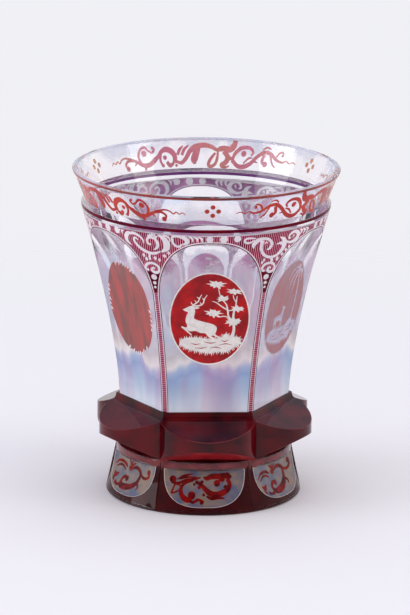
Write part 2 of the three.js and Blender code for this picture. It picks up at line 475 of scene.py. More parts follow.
def triangulate(loops: Sequence[Points], lines: Points, loose: Points) -> tuple[Points, Points]:
    """Constrained Delaunay triangles that follow every outline.

    Args:
        loops: closed outlines.
        lines: separate straight edges, one row of x0, y0, x1, y1 each.
        loose: loose points, so that no triangle is too large to bend.

    Returns:
        The points and the triangles, listed anticlockwise.
    """
    starts = np.cumsum([0, *[len(o) for o in loops]])
    edges = np.vstack([
        np.column_stack([np.arange(n), np.roll(np.arange(n), -1)]) + s
        for s, n in zip(starts, [len(o) for o in loops])
    ])
    ends = starts[-1] + 2 * np.arange(len(lines))[:, None] + [0, 1]
    flat = np.vstack([*loops, lines.reshape(-1, 2), loose])
    made = geometry.delaunay_2d_cdt(
        [Vector(p) for p in flat.tolist()], np.vstack([edges, ends]).tolist(), [], 0, DRAWN_GAP, False
    )
    points = np.array([tuple(v) for v in made[0]])
    corners = np.array([f for f in made[2] if len(f) == 3])
    a, b, c = (points[corners[:, i]] for i in range(3))
    area = (b[:, 0] - a[:, 0]) * (c[:, 1] - a[:, 1]) - (b[:, 1] - a[:, 1]) * (c[:, 0] - a[:, 0])
    corners[area < 0] = corners[area < 0][:, ::-1]
    return points, corners[np.abs(area) > LEAST_AREA]


def lattice(low: Sequence[float], high: Sequence[float], pitch: Sequence[float]) -> Points:
    """Loose points in a brick pattern.

    Args:
        low: the lower left corner of the field.
        high: its upper right corner.
        pitch: how far apart the points are, across and up.

    Returns:
        The points.
    """
    x = np.arange(low[0] + pitch[0] / 3, high[0], pitch[0])
    y = np.arange(low[1] + pitch[1] / 3, high[1], pitch[1])
    gx, gy = np.meshgrid(x, y)
    gx = gx + np.where(np.arange(len(y)) % 2, pitch[0] / 2, 0)[:, None] * 0.9
    both = np.column_stack([gx.ravel(), gy.ravel()])
    return both[both[:, 0] < high[0]]


# Meshes


@dataclass
class Body:
    """A mesh in the making: corners in mm, triangles, and a material slot for each."""

    corners: Points
    faces: Points
    slots: Points

    def joined(self, other: "Body") -> "Body":
        """Both bodies as one.

        Args:
            other: the body that is added.

        Returns:
            A new body.
        """
        return Body(
            np.vstack([self.corners, other.corners]),
            np.vstack([self.faces, other.faces + len(self.corners)]),
            np.concatenate([self.slots, other.slots]),
        )

    def welded(self, gap: float = 1e-3) -> "Body":
        """The same body with corners that coincide made one, and faces without an area dropped.

        Args:
            gap: how near corners lie that are made one, in mm.

        Returns:
            A new body.
        """
        keys = np.round(self.corners / gap).astype(np.int64)
        _, first, back = np.unique(keys, axis=0, return_index=True, return_inverse=True)
        faces = back.reshape(-1)[self.faces]
        a, b, c = faces.T
        good = (a != b) & (b != c) & (c != a)
        return Body(self.corners[first], faces[good], self.slots[good])


def grid_body(rows: Points) -> Body:
    """Triangles over a grid of corners that closes round the axis.

    Args:
        rows: rows of corners, anticlockwise seen from above. Where the rows rise, the faces
            point outwards.

    Returns:
        The body, two triangles for each field of the grid.
    """
    count, wide = rows.shape[:2]
    i, j = np.meshgrid(np.arange(count - 1), np.arange(wide), indexing="ij")
    k = (j + 1) % wide
    a, b, c, d = (i * wide + j, i * wide + k, (i + 1) * wide + k, (i + 1) * wide + j)
    faces = np.stack([np.stack([a, b, c], -1), np.stack([a, c, d], -1)], 2).reshape(-1, 3)
    return Body(rows.reshape(-1, 3), faces, np.zeros(len(faces), int))


def swept_rows(radius: Points, z: Points, angle: Points) -> Points:
    """Rows of corners of a solid of revolution: radius times cosine and sine, and the height.

    Args:
        radius: radius of each row.
        z: height of each row.
        angle: angle of each column.

    Returns:
        The rows of corners.
    """
    radius, z = np.asarray(radius, float)[:, None], np.asarray(z, float)[:, None]
    return np.stack([radius * np.cos(angle), radius * np.sin(angle), z + 0 * angle], -1)


def ring_rows(radius: Points, z: Points, columns: int) -> Points:
    """Rows of corners of a solid of revolution, with its columns evenly spread from the front."""
    return swept_rows(radius, z, FRONT + np.linspace(0, 2 * np.pi, columns, endpoint=False))


def on_round(points: Points, radius: Points, middle: float, drawn_radius: float) -> Points:
    """Puts drawn points on a round surface: across is an arc, and up is the height.

    Args:
        points: points of the flat drawing.
        radius: the surface's radius at each.
        middle: the angle of the drawing's middle from the front.
        drawn_radius: the radius whose arcs the drawing is as wide as.

    Returns:
        The points on the surface.
    """
    angle = FRONT + middle + points[:, 0] / drawn_radius
    return np.column_stack([radius * np.cos(angle), radius * np.sin(angle), points[:, 1]])


def turned(points: Points, angle: float) -> Points:
    """The points turned anticlockwise about the axis."""
    (x, y, z), cos, sin = points.T, np.cos(angle), np.sin(angle)
    return np.column_stack([x * cos - y * sin, x * sin + y * cos, z])


def cut_rows(
    z: Points,
    radius: Callable[[Points], Points],
    half: Callable[[Points], Points],
    distance: Callable[[Points], Points],
    across: int,
    between: int,
    bow: Points | float = 0.0,
) -> Points:
    """Rows of corners of a round body with a flat cut in each sector.

    In a sector the flat's corners lie evenly along a straight line at its distance from the axis,
    and the round part's corners lie evenly round the arc to the next flat. A row hangs like a
    dome: at a share t of the flat's half width it lies its bow times t cubed lower.

    Args:
        z: height of each row in the middle of the flats.
        radius: outer radius at a height.
        half: half the flat's width at a height.
        distance: the flat's distance from the axis at a height.
        across: corners over a flat.
        between: corners over the round part.
        bow: how far each row hangs at the flats' edges.

    Returns:
        Rows, each of corners anticlockwise round the axis.
    """
    share_across = np.linspace(-1, 1, across, endpoint=False)
    hang = np.hstack([np.abs(share_across) ** 3, np.ones(between)])
    level = np.asarray(z, float)[:, None] - np.broadcast_to(bow, len(z))[:, None] * hang
    flat, arc = level[:, :across], level[:, across:]
    sideways = half(flat) * share_across
    flat_angle = np.arctan2(sideways, distance(flat))
    flat_radius = np.hypot(sideways, distance(flat))
    edge = np.arctan2(half(arc), distance(arc))
    arc_angle = edge + (SECTOR - 2 * edge) * np.linspace(0, 1, between, endpoint=False)
    angle = np.hstack([flat_angle, arc_angle])
    reach = np.tile(np.hstack([flat_radius, radius(arc)]), (1, PANELS))
    height = np.tile(level, (1, PANELS))
    round_turn = angle[:, None, :] + FRONT + SECTOR * np.arange(PANELS)[None, :, None]
    round_turn = round_turn.reshape(len(level), -1)
    return np.stack([reach * np.cos(round_turn), reach * np.sin(round_turn), height], -1)


def layer(
    points: Points, triangles: Points, covers: Points, place: Place, copies: int = 1, turn: float = 0.0
) -> Body:
    """A thin closed layer over a surface.

    Every kept triangle is laid twice, a little proud of the surface and a little under it, and a
    wall closes each edge that has no neighbour. Stain has another colour from inside the glass,
    and under an engraved patch the layer is clear.

    Args:
        points: corners of the flat drawing.
        triangles: its triangles, anticlockwise.
        covers: what each triangle is; those that are NONE are left out.
        place: puts flat points on the surface at a height over it.
        copies: how many times the layer is repeated round the axis.
        turn: how far the first of them is turned.

    Returns:
        The layer's body, with a Cover as each triangle's slot.
    """
    kept = covers != Cover.NONE
    triangles, covers = triangles[kept], covers[kept]
    used, back = np.unique(triangles, return_inverse=True)
    points, triangles = points[used], back.reshape(-1, 3)
    top, under = place(points, LAYER_PROUD), place(points, -LAYER_SUNK)
    turns = turn + np.arange(copies) * 2 * np.pi / copies
    spin = np.array([[[np.cos(t), np.sin(t), 0], [-np.sin(t), np.cos(t), 0], [0, 0, 1]] for t in turns])
    top, under = ((p @ spin).reshape(-1, 3) for p in (top, under))
    count = len(points)
    triangles = (triangles[None] + (np.arange(copies) * count)[:, None, None]).reshape(-1, 3)
    covers = np.tile(covers, copies)
    _, first, back = np.unique(
        np.round(top / WELD_GAP).astype(np.int64), axis=0, return_index=True, return_inverse=True
    )
    top, under, triangles = top[first], under[first], back.reshape(-1)[triangles]
    edges = np.vstack([triangles[:, [0, 1]], triangles[:, [1, 2]], triangles[:, [2, 0]]])
    owners = np.tile(covers, 3)
    size = len(top)
    code, mate = edges[:, 0] * size + edges[:, 1], edges[:, 1] * size + edges[:, 0]
    lone = ~np.isin(code, mate)
    a, b = edges[lone].T
    walls = np.vstack([np.column_stack([b, a, a + size]), np.column_stack([b, a + size, b + size])])
    below = np.where(covers == Cover.ENGRAVED, Cover.CLEAR, Cover.BEHIND)
    return Body(
        np.vstack([top, under]),
        np.vstack([triangles, triangles[:, ::-1] + size, walls]),
        np.concatenate([covers, below, np.tile(owners[lone], 2)]),
    )


def band(profile: Points, columns: int = 180) -> Body:
    """A thin closed ring over the outside of the glass.

    Args:
        profile: radius and height of points on the glass, rising.
        columns: how many corners it has round the axis.

    Returns:
        Its body, whose outer face is RUBY and whose inner face is BEHIND.
    """
    along = np.gradient(profile, axis=0)
    along /= np.linalg.norm(along, axis=1)[:, None]
    out = np.column_stack([along[:, 1], -along[:, 0]])
    loop = np.vstack([profile + out * LAYER_PROUD, (profile - out * LAYER_SUNK)[::-1]])
    loop = np.vstack([loop, loop[:1]])
    body = grid_body(ring_rows(loop[:, 0], loop[:, 1], columns))
    row = np.arange(len(body.faces)) // (2 * columns)
    body.slots[row >= len(profile)] = Cover.BEHIND
    return body.welded()


def add_piece(
    name: str,
    body: Body,
    finishes: Sequence["GlassFinish"],
    nodes: Sequence[str] = (),
    crease: float = 18.0,
) -> bpy.types.Object:
    """Makes the mesh object of a piece and ties it to the frame.

    Args:
        name: the piece's name.
        body: its mesh in mm.
        finishes: its finishes, in the order of the body's slots.
        nodes: the frame's nodes that it stands for.
        crease: edges that turn by more degrees than this stay sharp.

    Returns:
        The object.
    """
    mesh = bpy.data.meshes.new(name)
    mesh.from_pydata((body.corners * MM).tolist(), [], body.faces.tolist())
    for finish in finishes:
        mesh.materials.append(finish.material())
    mesh.polygons.foreach_set("material_index", body.slots.astype(np.int32))
    mesh.polygons.foreach_set("use_smooth", np.ones(len(body.faces), bool))
    mesh.update()
    mesh.set_sharp_from_angle(angle=np.radians(crease))
    piece = bpy.data.objects.new(name, mesh)
    bpy.context.scene.collection.objects.link(piece)
    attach(piece, "root")
    if nodes:
        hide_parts(*nodes)
    log.info("%s: %d triangles", name, len(body.faces))
    return piece


# Materials


def linear(hex_colour: str) -> tuple[float, float, float, float]:
    """Turns an sRGB colour to linear light.

    Args:
        hex_colour: the colour, as # and six digits.

    Returns:
        Its linear red, green and blue, and full alpha.
    """
    value = np.array([int(hex_colour[i : i + 2], 16) for i in (1, 3, 5)]) / 255
    low, high = value / 12.92, ((value + 0.055) / 1.055) ** 2.4
    return (*np.where(value <= 0.04045, low, high).tolist(), 1.0)


def add_node(
    tree: bpy.types.NodeTree, kind: str, links: dict | None = None,
    stops: Sequence[tuple[float, tuple]] = (), **settings,
) -> bpy.types.Node:
    """Adds a node.

    Args:
        tree: the tree that it goes in.
        kind: its type.
        links: for each input, by name or number, a value or the output that feeds it.
        stops: a colour ramp's rising places from 0 to 1, each with its linear colour.
        settings: its own properties.

    Returns:
        The node.
    """
    made = tree.nodes.new(kind)
    for key, value in settings.items():
        setattr(made, key, value)
    for key, value in (links or {}).items():
        if isinstance(value, bpy.types.NodeSocket):
            tree.links.new(value, made.inputs[key])
        else:
            made.inputs[key].default_value = value
    if stops:
        elements = made.color_ramp.elements
        for place, _ in stops[2:]:
            elements.new(place)
        for element, (place, colour) in zip(elements, stops):
            element.position = place
            element.color = colour
    return made


# Where most of a noise's values lie, for patches with clear edges and for softer flames
PATCH_SPAN = (0.38, 0.62)
FLAME_SPAN = (0.3, 0.7)
# Sockets of a Mix node for colours: its factor, its two colours and its result
MIX_FACTOR, MIX_A, MIX_B, MIX_RESULT = 0, 6, 7, 2


@dataclass(frozen=True)
class GlassFinish:
    """A kind of glass surface.

    Attributes:
        name: the material's name.
        colour: its tint.
        shade: the tint in its other patches.
        patch_mm: how far apart the patches are.
        roughness: 0 is a clear polish.
        transmission: 1 is all glass, less lets the surface scatter as a ground one does.
        ior: refractive index.
        ripple_mm: length of the waves that fire polish and wheel polish leave.
        ripple: how strongly those waves bend the surface.
        stretch: the patches' width over their height, so less than 1 makes upright streaks.
        shine: how strongly it mirrors the room, 0.5 for plain glass.
    """

    name: str
    colour: str = "#ffffff"
    shade: str = "#ffffff"
    patch_mm: float = 14.0
    roughness: float = 0.0
    transmission: float = 1.0
    ior: float = 1.5
    ripple_mm: float = 9.0
    ripple: float = 0.0
    stretch: float = 1.0
    shine: float = 0.5

    def ends(self, tree: bpy.types.NodeTree) -> tuple:
        """The tint, the tint in the other patches and the transmission, for the shader."""
        return linear(self.colour), linear(self.shade), self.transmission

    def material(self) -> bpy.types.Material:
        """The finish's material, made when it is first asked for."""
        return bpy.data.materials.get(self.name) or self.build()

    def build(self) -> bpy.types.Material:
        """Makes the material: a Principled shader with a patchy tint and a rippled surface.

        Returns:
            The new material.
        """
        material = bpy.data.materials.new(self.name)
        material.use_nodes = True
        tree = material.node_tree
        tree.nodes.clear()
        coords = add_node(tree, "ShaderNodeTexCoord").outputs["Object"]
        scale = (1.0, 1.0, self.stretch)
        scaled = add_node(tree, "ShaderNodeMapping", {"Vector": coords, "Scale": scale}).outputs["Vector"]
        patches = add_node(
            tree, "ShaderNodeTexNoise",
            {"Vector": scaled, "Scale": 1 / (self.patch_mm * MM), "Detail": 3.0, "Roughness": 0.55},
        )
        low, high = PATCH_SPAN
        spread = add_node(
            tree, "ShaderNodeMapRange", {"Value": patches.outputs["Fac"], "From Min": low, "From Max": high}
        )
        colour, shade, clear = self.ends(tree)
        tint = add_node(
            tree, "ShaderNodeMix",
            {MIX_FACTOR: spread.outputs["Result"], MIX_A: colour, MIX_B: shade}, data_type="RGBA",
        )
        glass = add_node(
            tree,
            "ShaderNodeBsdfPrincipled",
            {
                "Base Color": tint.outputs[MIX_RESULT],
                "Roughness": self.roughness,
                "IOR": self.ior,
                "Transmission Weight": clear,
                "Specular IOR Level": self.shine,
            },
        )
        if self.ripple:
            waves = add_node(
                tree, "ShaderNodeTexNoise",
                {"Vector": scaled, "Scale": 1 / (self.ripple_mm * MM), "Detail": 1.0},
            )
            bump = add_node(
                tree, "ShaderNodeBump",
                {"Height": waves.outputs["Fac"], "Strength": self.ripple, "Distance": MM},
            )
            tree.links.new(bump.outputs["Normal"], glass.inputs["Normal"])
        add_node(tree, "ShaderNodeOutputMaterial", {"Surface": glass.outputs["BSDF"]})
        return material


@dataclass(frozen=True)
class ReverseFinish(GlassFinish):
    """The reverse of a stain, seen from inside the glass: it is matt and lets nothing through."""

    roughness: float = 0.5
    transmission: float = 0.0
    shine: float = 0.0


@dataclass(frozen=True)
class GradedGlass(GlassFinish):
    """Glass whose milk changes with its level, which the piece's own attribute `level` gives.

    Attributes:
        stops: for each level in mm, the tint, the tint in the streaks and the transmission.
        wander_mm: how far the levels wander up and down, like flames.
        flame_mm: how far apart the flames are.
        flame_stretch: their width over their height.
    """

    stops: tuple[tuple[float, str, str, float], ...] = ()
    wander_mm: float = 4.0
    flame_mm: float = 11.0
    flame_stretch: float = 0.25

    def ends(self, tree: bpy.types.NodeTree) -> tuple:
        """Three ramps over the level, which a noise of upright flames moves up and down.

        Args:
            tree: the tree that they go in.

        Returns:
            The outputs with the tint, the tint in the streaks and the transmission.
        """
        coords = add_node(tree, "ShaderNodeTexCoord").outputs["Object"]
        scale = (1.0, 1.0, self.flame_stretch)
        upright = add_node(tree, "ShaderNodeMapping", {"Vector": coords, "Scale": scale}).outputs["Vector"]
        flames = add_node(
            tree, "ShaderNodeTexNoise",
            {"Vector": upright, "Scale": 1 / (self.flame_mm * MM), "Detail": 2.0, "Roughness": 0.5},
        ).outputs["Fac"]
        levels, tints, streaks, clear = zip(*self.stops)
        low, high = levels[0], levels[-1]
        wander = self.wander_mm / (high - low)
        least, most = FLAME_SPAN
        shift = add_node(
            tree, "ShaderNodeMapRange",
            {"Value": flames, "From Min": least, "From Max": most, "To Min": -wander, "To Max": wander},
        ).outputs["Result"]
        level = add_node(tree, "ShaderNodeAttribute", attribute_name="level").outputs["Fac"]
        share_up = add_node(
            tree, "ShaderNodeMapRange", {"Value": level, "From Min": low, "From Max": high}
        ).outputs["Result"]
        place = add_node(tree, "ShaderNodeMath", {0: share_up, 1: shift}, operation="ADD").outputs[0]
        at = [(stop - low) / (high - low) for stop in levels]
        greys = [(value, value, value, 1.0) for value in clear]
        return tuple(
            add_node(tree, "ShaderNodeValToRGB", {"Fac": place}, list(zip(at, ramp))).outputs["Color"]
            for ramp in ([linear(c) for c in tints], [linear(c) for c in streaks], greys)
        )


# Lead crystal, cut and polished: colourless, a breath warmer or bluer in broad patches
CRYSTAL = GlassFinish("crystal_wheel_polished", "#fefdfb", "#f8f9ff", patch_mm=25.0, ripple=0.02)
# Opaline glass, fire polished: milky blue and lilac, paler down by the collar, and cream where the
# milk thins out, a painted glow for the light that comes through the thick glass under the cup; above
# that it is a veil, bluish and rosy by turns, that the far side shows through, then nearly clear up the
# neck, and the lip gathers it again
OPALINE_AND_GLOW = GradedGlass(
    "opaline_fire_polished_and_glow", patch_mm=9.0, roughness=0.03, stretch=0.15, ripple=0.02,
    stops=(
        (39.2, "#e8f0fc", "#eee2f2", 0.2),
        (46.0, "#c8daf4", "#d4c4e2", 0.3),
        (54.5, "#9cb6e0", "#b69cc8", 0.35),
        (57.5, "#b8caea", "#ccb2d2", 0.35),
        # painted light: the cream glow from here to the next stop stands in for light coming through the
        # thick glass
        (60.0, "#fff8f0", "#fbe6e8", 0.35),
        (64.0, "#fdf4f0", "#ffeae6", 0.6),
        (71.0, "#e4eeff", "#ffeef9", 0.62),
        (98.0, "#e8f1ff", "#ffeff8", 0.62),
        (103.0, "#fdfdff", "#faf3fa", 0.98),
        (126.5, "#fdfdff", "#faf3fa", 0.98),
        (129.5, "#e2ebff", "#f4f2ff", 0.6),
    ),
)
# The same opaline in the foot's windows: greyer in the ruby collar's shade, with warm clouds
OPALINE_FOOT = GlassFinish(
    "opaline_wheel_polished", "#5e6684", "#9a8270", patch_mm=7.0, transmission=0.25, roughness=0.04,
    ripple=0.01,
)
# Copper ruby stain fired thin on the medallions: a strong clear red, deeper where it lay thick
RUBY = GlassFinish(
    "ruby_stain_fired_thin", "#d21018", "#a00e16", patch_mm=5.0, transmission=0.3, roughness=0.03,
    ripple=0.01, shine=0.1,
)
# The same stain where it is worn and bleached: a dull old rose
RUBY_FADED = GlassFinish(
    "ruby_stain_bleached", "#b4585c", "#a8707a", patch_mm=5.0, transmission=0.3, roughness=0.08,
    stretch=0.3,
)
# The same stain that ran as it was fired: brown red, with upright streaks
RUBY_STREAKED = GlassFinish(
    "ruby_stain_run", "#bc3c36", "#843c34", patch_mm=4.0, transmission=0.2, roughness=0.05,
    stretch=0.12,
)
# The same stain fired thick on the body: wine red with a breath of magenta
RUBY_THICK = GlassFinish(
    "ruby_stain_fired_thick", "#6a0218", "#500226", patch_mm=9.0, transmission=0.1, roughness=0.03,
    ripple=0.01, shine=0.04,
)
# The stain on the foot: nearly black
RUBY_FOOT = GlassFinish(
    "ruby_stain_foot_dark", "#4a060c", "#36050a", patch_mm=9.0, transmission=0.3, roughness=0.03,
    ripple=0.01, shine=0.04,
)
# The scrolls in the foot's windows: a brick red that the shade in there browns
RUBY_SCROLL = GlassFinish(
    "ruby_stain_drawn", "#8c1410", "#4c0a0e", patch_mm=3.0, transmission=0.15, roughness=0.05,
    shine=0.06,
)
# Stain that the wheel has skimmed, in the hatching's pale lines and the ribs' rungs: a rose pink
RUBY_THINNED = GlassFinish(
    "ruby_stain_wheel_skimmed", "#ff9cb4", "#ee7ca4", patch_mm=3.0, transmission=0.25, roughness=0.3,
    shine=0.1,
)
# The stain on the neck, painted on: a lighter orange red
RUBY_PAINTED = GlassFinish(
    "ruby_stain_painted", "#d2402f", "#b92c2c", patch_mm=12.0, transmission=0.25, roughness=0.05,
    ripple=0.01, shine=0.2,
)
# The painted stain from inside the mouth: salmon turning to pink, a pale colour that is painted light for
# the light coming through the stain from outside
PAINTED_BEHIND = ReverseFinish("ruby_stain_painted_reverse", "#ffb890", "#ff9cae", patch_mm=30.0)
# The thick stain seen from inside the glass: a pale mauve, painted light for the light coming through the
# stain from outside
THICK_BEHIND = ReverseFinish("ruby_stain_thick_reverse", "#e4a8d0", "#cc94c8", patch_mm=8.0)
# The thin stain of the medallions from inside: a bright rose mauve, painted light for the light coming
# through the stain from outside
THIN_BEHIND = ReverseFinish("ruby_stain_thin_reverse", "#ff9ede", "#ffbcec", patch_mm=8.0)
# The ledge's line from inside, under the thick step of glass: a full violet
LEDGE_BEHIND = ReverseFinish("ruby_stain_ledge_reverse", "#843f92", "#944a9a", patch_mm=16.0)
# Deep wheel engraving through the stain: ground matt, a warm white that lets a little light through
ENGRAVED = GlassFinish(
    "crystal_wheel_engraved", "#fbf4ef", "#ece2de", patch_mm=1.4, roughness=0.5, transmission=0.15,
    ripple_mm=0.5, ripple=0.3,
)
# Finer engraving, on the frieze and most medallions: a cooler white that lets more light through
ENGRAVED_FINE = GlassFinish(
    "crystal_wheel_engraved_fine", "#fffcfd", "#fbeef4", patch_mm=1.4, roughness=0.4, transmission=0.38,
    ripple_mm=0.5, ripple=0.2,
)
# Engraving through the bleached stain, rubbed smooth by use: a faint bluish lilac
ENGRAVED_WORN = GlassFinish(
    "crystal_wheel_engraved_worn", "#d2cee4", "#b8a6c0", patch_mm=2.0, roughness=0.3, transmission=0.35,
    ripple_mm=0.8, ripple=0.2,
)
# The deep engraving from inside the glass: plain white
ENGRAVED_BEHIND = ReverseFinish(
    "crystal_wheel_engraved_reverse", "#ffffff", "#fdf6ff", patch_mm=6.0, roughness=0.6,
)
# Ruby glass in a thick mass, cut and polished: nearly black, wine red where it is thin
DEEP_RUBY = GlassFinish(
    "ruby_glass_wheel_polished", "#6e0410", "#340209", patch_mm=13.0, transmission=0.45, ripple=0.02,
    shine=0.03,
)
# The collar's cut edges, rounded a little by the polishing wheel, with a lighter brown red that is a painted
# highlight; the stain on the foot above the windows, in the collar's shade, has the same brown red as a
# painted reflection
DEEP_RUBY_GLINT = GlassFinish(
    "ruby_glass_arris_painted_highlight", "#8a2a30", "#6a1a22", patch_mm=6.0, transmission=0.3, roughness=0.1,
)
# The collar's lower bevel: a lighter red, painted light for the table's light that comes up onto it
DEEP_RUBY_PAINTED_LIGHT = GlassFinish(
    "ruby_glass_wheel_polished_painted_light", "#ba2a30", "#84161e", patch_mm=9.0, transmission=0.3, ripple=0.02,
    shine=0.07,
)
# The rim line: brown-red enamel, brushed on
RIM = GlassFinish(
    "enamel_brushed_brown_red", "#9c2a20", "#6c1a1c", patch_mm=18.0, transmission=0.0, roughness=0.2,
    ripple_mm=2.0, ripple=0.1,
)
# The enamel's reverse: white, painted light that makes up for the light the glass keeps from it; it looks
# grey through the glass
RIM_BEHIND = ReverseFinish("enamel_reverse_grey", "#ffffff", "#f4f4ff", patch_mm=12.0)


# Sub-assemblies


@dataclass
class Bowl:
    """The clear bowl: six flat panels, ribs, ledge, neck, rounded lip and the cup inside.

    The glass is milky up to a domed line in each panel, where the light comes through the thick
    glass under the cup, and only veiled above it: `level` says how high a corner lies in it.
    """

    form: Form
    across: int = 14
    between: int = 16
    milky_rows: int = 10
    panel_rows: int = 60
    spandrel_rows: int = 5
    neck_rows: int = 12
    lip_steps: int = 8
    cup_rows: int = 60
    corner_steps: int = 10
    floor_rings: tuple[float, ...] = (0.6, 0.25, 0.0)
    milky_top: float = 59.0
    milky_bow: float = 3.2
    CLEAR = 0
    MILKY = 1

    def level(self, corners: Points) -> Points:
        """The level in the milk: the height, and at a share t of a flat's half width the bow
        times t cubed more, with the whole bow between the flats.

        Args:
            corners: corners of the bowl.

        Returns:
            The level of each.
        """
        f = self.form
        x, y, z = corners.T
        lean = (np.arctan2(y, x) - FRONT + SECTOR / 2) % SECTOR - SECTOR / 2
        sideways = np.abs(np.hypot(x, y) * np.sin(lean))
        half = np.maximum(f.panel_half(np.clip(z, f.collar_top, f.arch_spring)), 1.0)
        bow = self.milky_bow * share(z, f.collar_top, self.milky_top)
        return z + bow * np.clip(sideways / half, 0, 1) ** 3

    def mesh(self) -> Body:
        """The closed body: cut rows up to the arches, rings above them, and the cup within. All
        of it is MILKY but the cup's wall above its rounded corner.

        Returns:
            The body, with CLEAR or MILKY as each triangle's slot.
        """
        f = self.form
        z = np.concatenate([
            np.linspace(f.collar_top, self.milky_top, self.milky_rows),
            crowded(self.milky_top, f.arch_top, self.panel_rows, ARCH_CROWDING)[1:],
        ])
        bow = share(z, f.collar_top, self.milky_top) * share(z, f.arch_top, self.milky_top)
        rows = cut_rows(
            z, f.outer_radius, f.panel_half, f.panel_distance, self.across, self.between,
            self.milky_bow * bow,
        )
        sides = grid_body(rows)
        sides.slots[:] = self.MILKY
        lip_foot = f.lip - f.lip_round
        above = np.concatenate([
            np.linspace(f.arch_top, f.body_top, self.spandrel_rows),
            [f.ledge_top],
            np.linspace(f.waist, lip_foot, self.neck_rows),
        ])
        lip_radius, lip_height = f.lip_curve(np.linspace(0, np.pi, self.lip_steps)[1:])
        corner_top = f.collar_top + f.cup_floor + f.cup_corner_radius
        down = np.linspace(lip_foot, corner_top, self.cup_rows)[1:]
        bend = np.linspace(0, np.pi / 2, self.corner_steps)[1:]
        axis = f.cup_radius(corner_top) - f.cup_corner_radius
        radius = np.concatenate([
            f.outer_radius(above),
            lip_radius,
            f.cup_radius(down),
            axis + f.cup_corner_radius * np.cos(bend),
            axis * np.array(self.floor_rings),
        ])
        height = np.concatenate([
            above,
            lip_height,
            down,
            corner_top - f.cup_corner_radius * np.sin(bend),
            np.full(len(self.floor_rings), f.collar_top + f.cup_floor),
        ])
        # the rings share the last cut row's corners, so that the two surfaces close
        turn = np.arctan2(rows[-1, :, 1], rows[-1, :, 0])
        rings = grid_body(swept_rows(radius, height, turn))
        ring = np.arange(len(rings.faces)) // (2 * len(turn))
        outside = ring < len(above) + self.lip_steps - 2
        rings.slots[outside | (height[ring] <= corner_top)] = self.MILKY
        sole = grid_body(np.stack([rows[0] * (0, 0, 1), rows[0]]))
        sole.slots[:] = self.MILKY
        return sides.joined(rings).joined(sole).welded()

    def build(self) -> None:
        """Adds the bowl."""
        body = self.mesh()
        piece = add_piece("bowl_crystal", body, (CRYSTAL, OPALINE_AND_GLOW), ["bowl"])
        levels = piece.data.attributes.new("level", "FLOAT", "POINT")
        levels.data.foreach_set("value", self.level(body.corners).astype(np.float32))


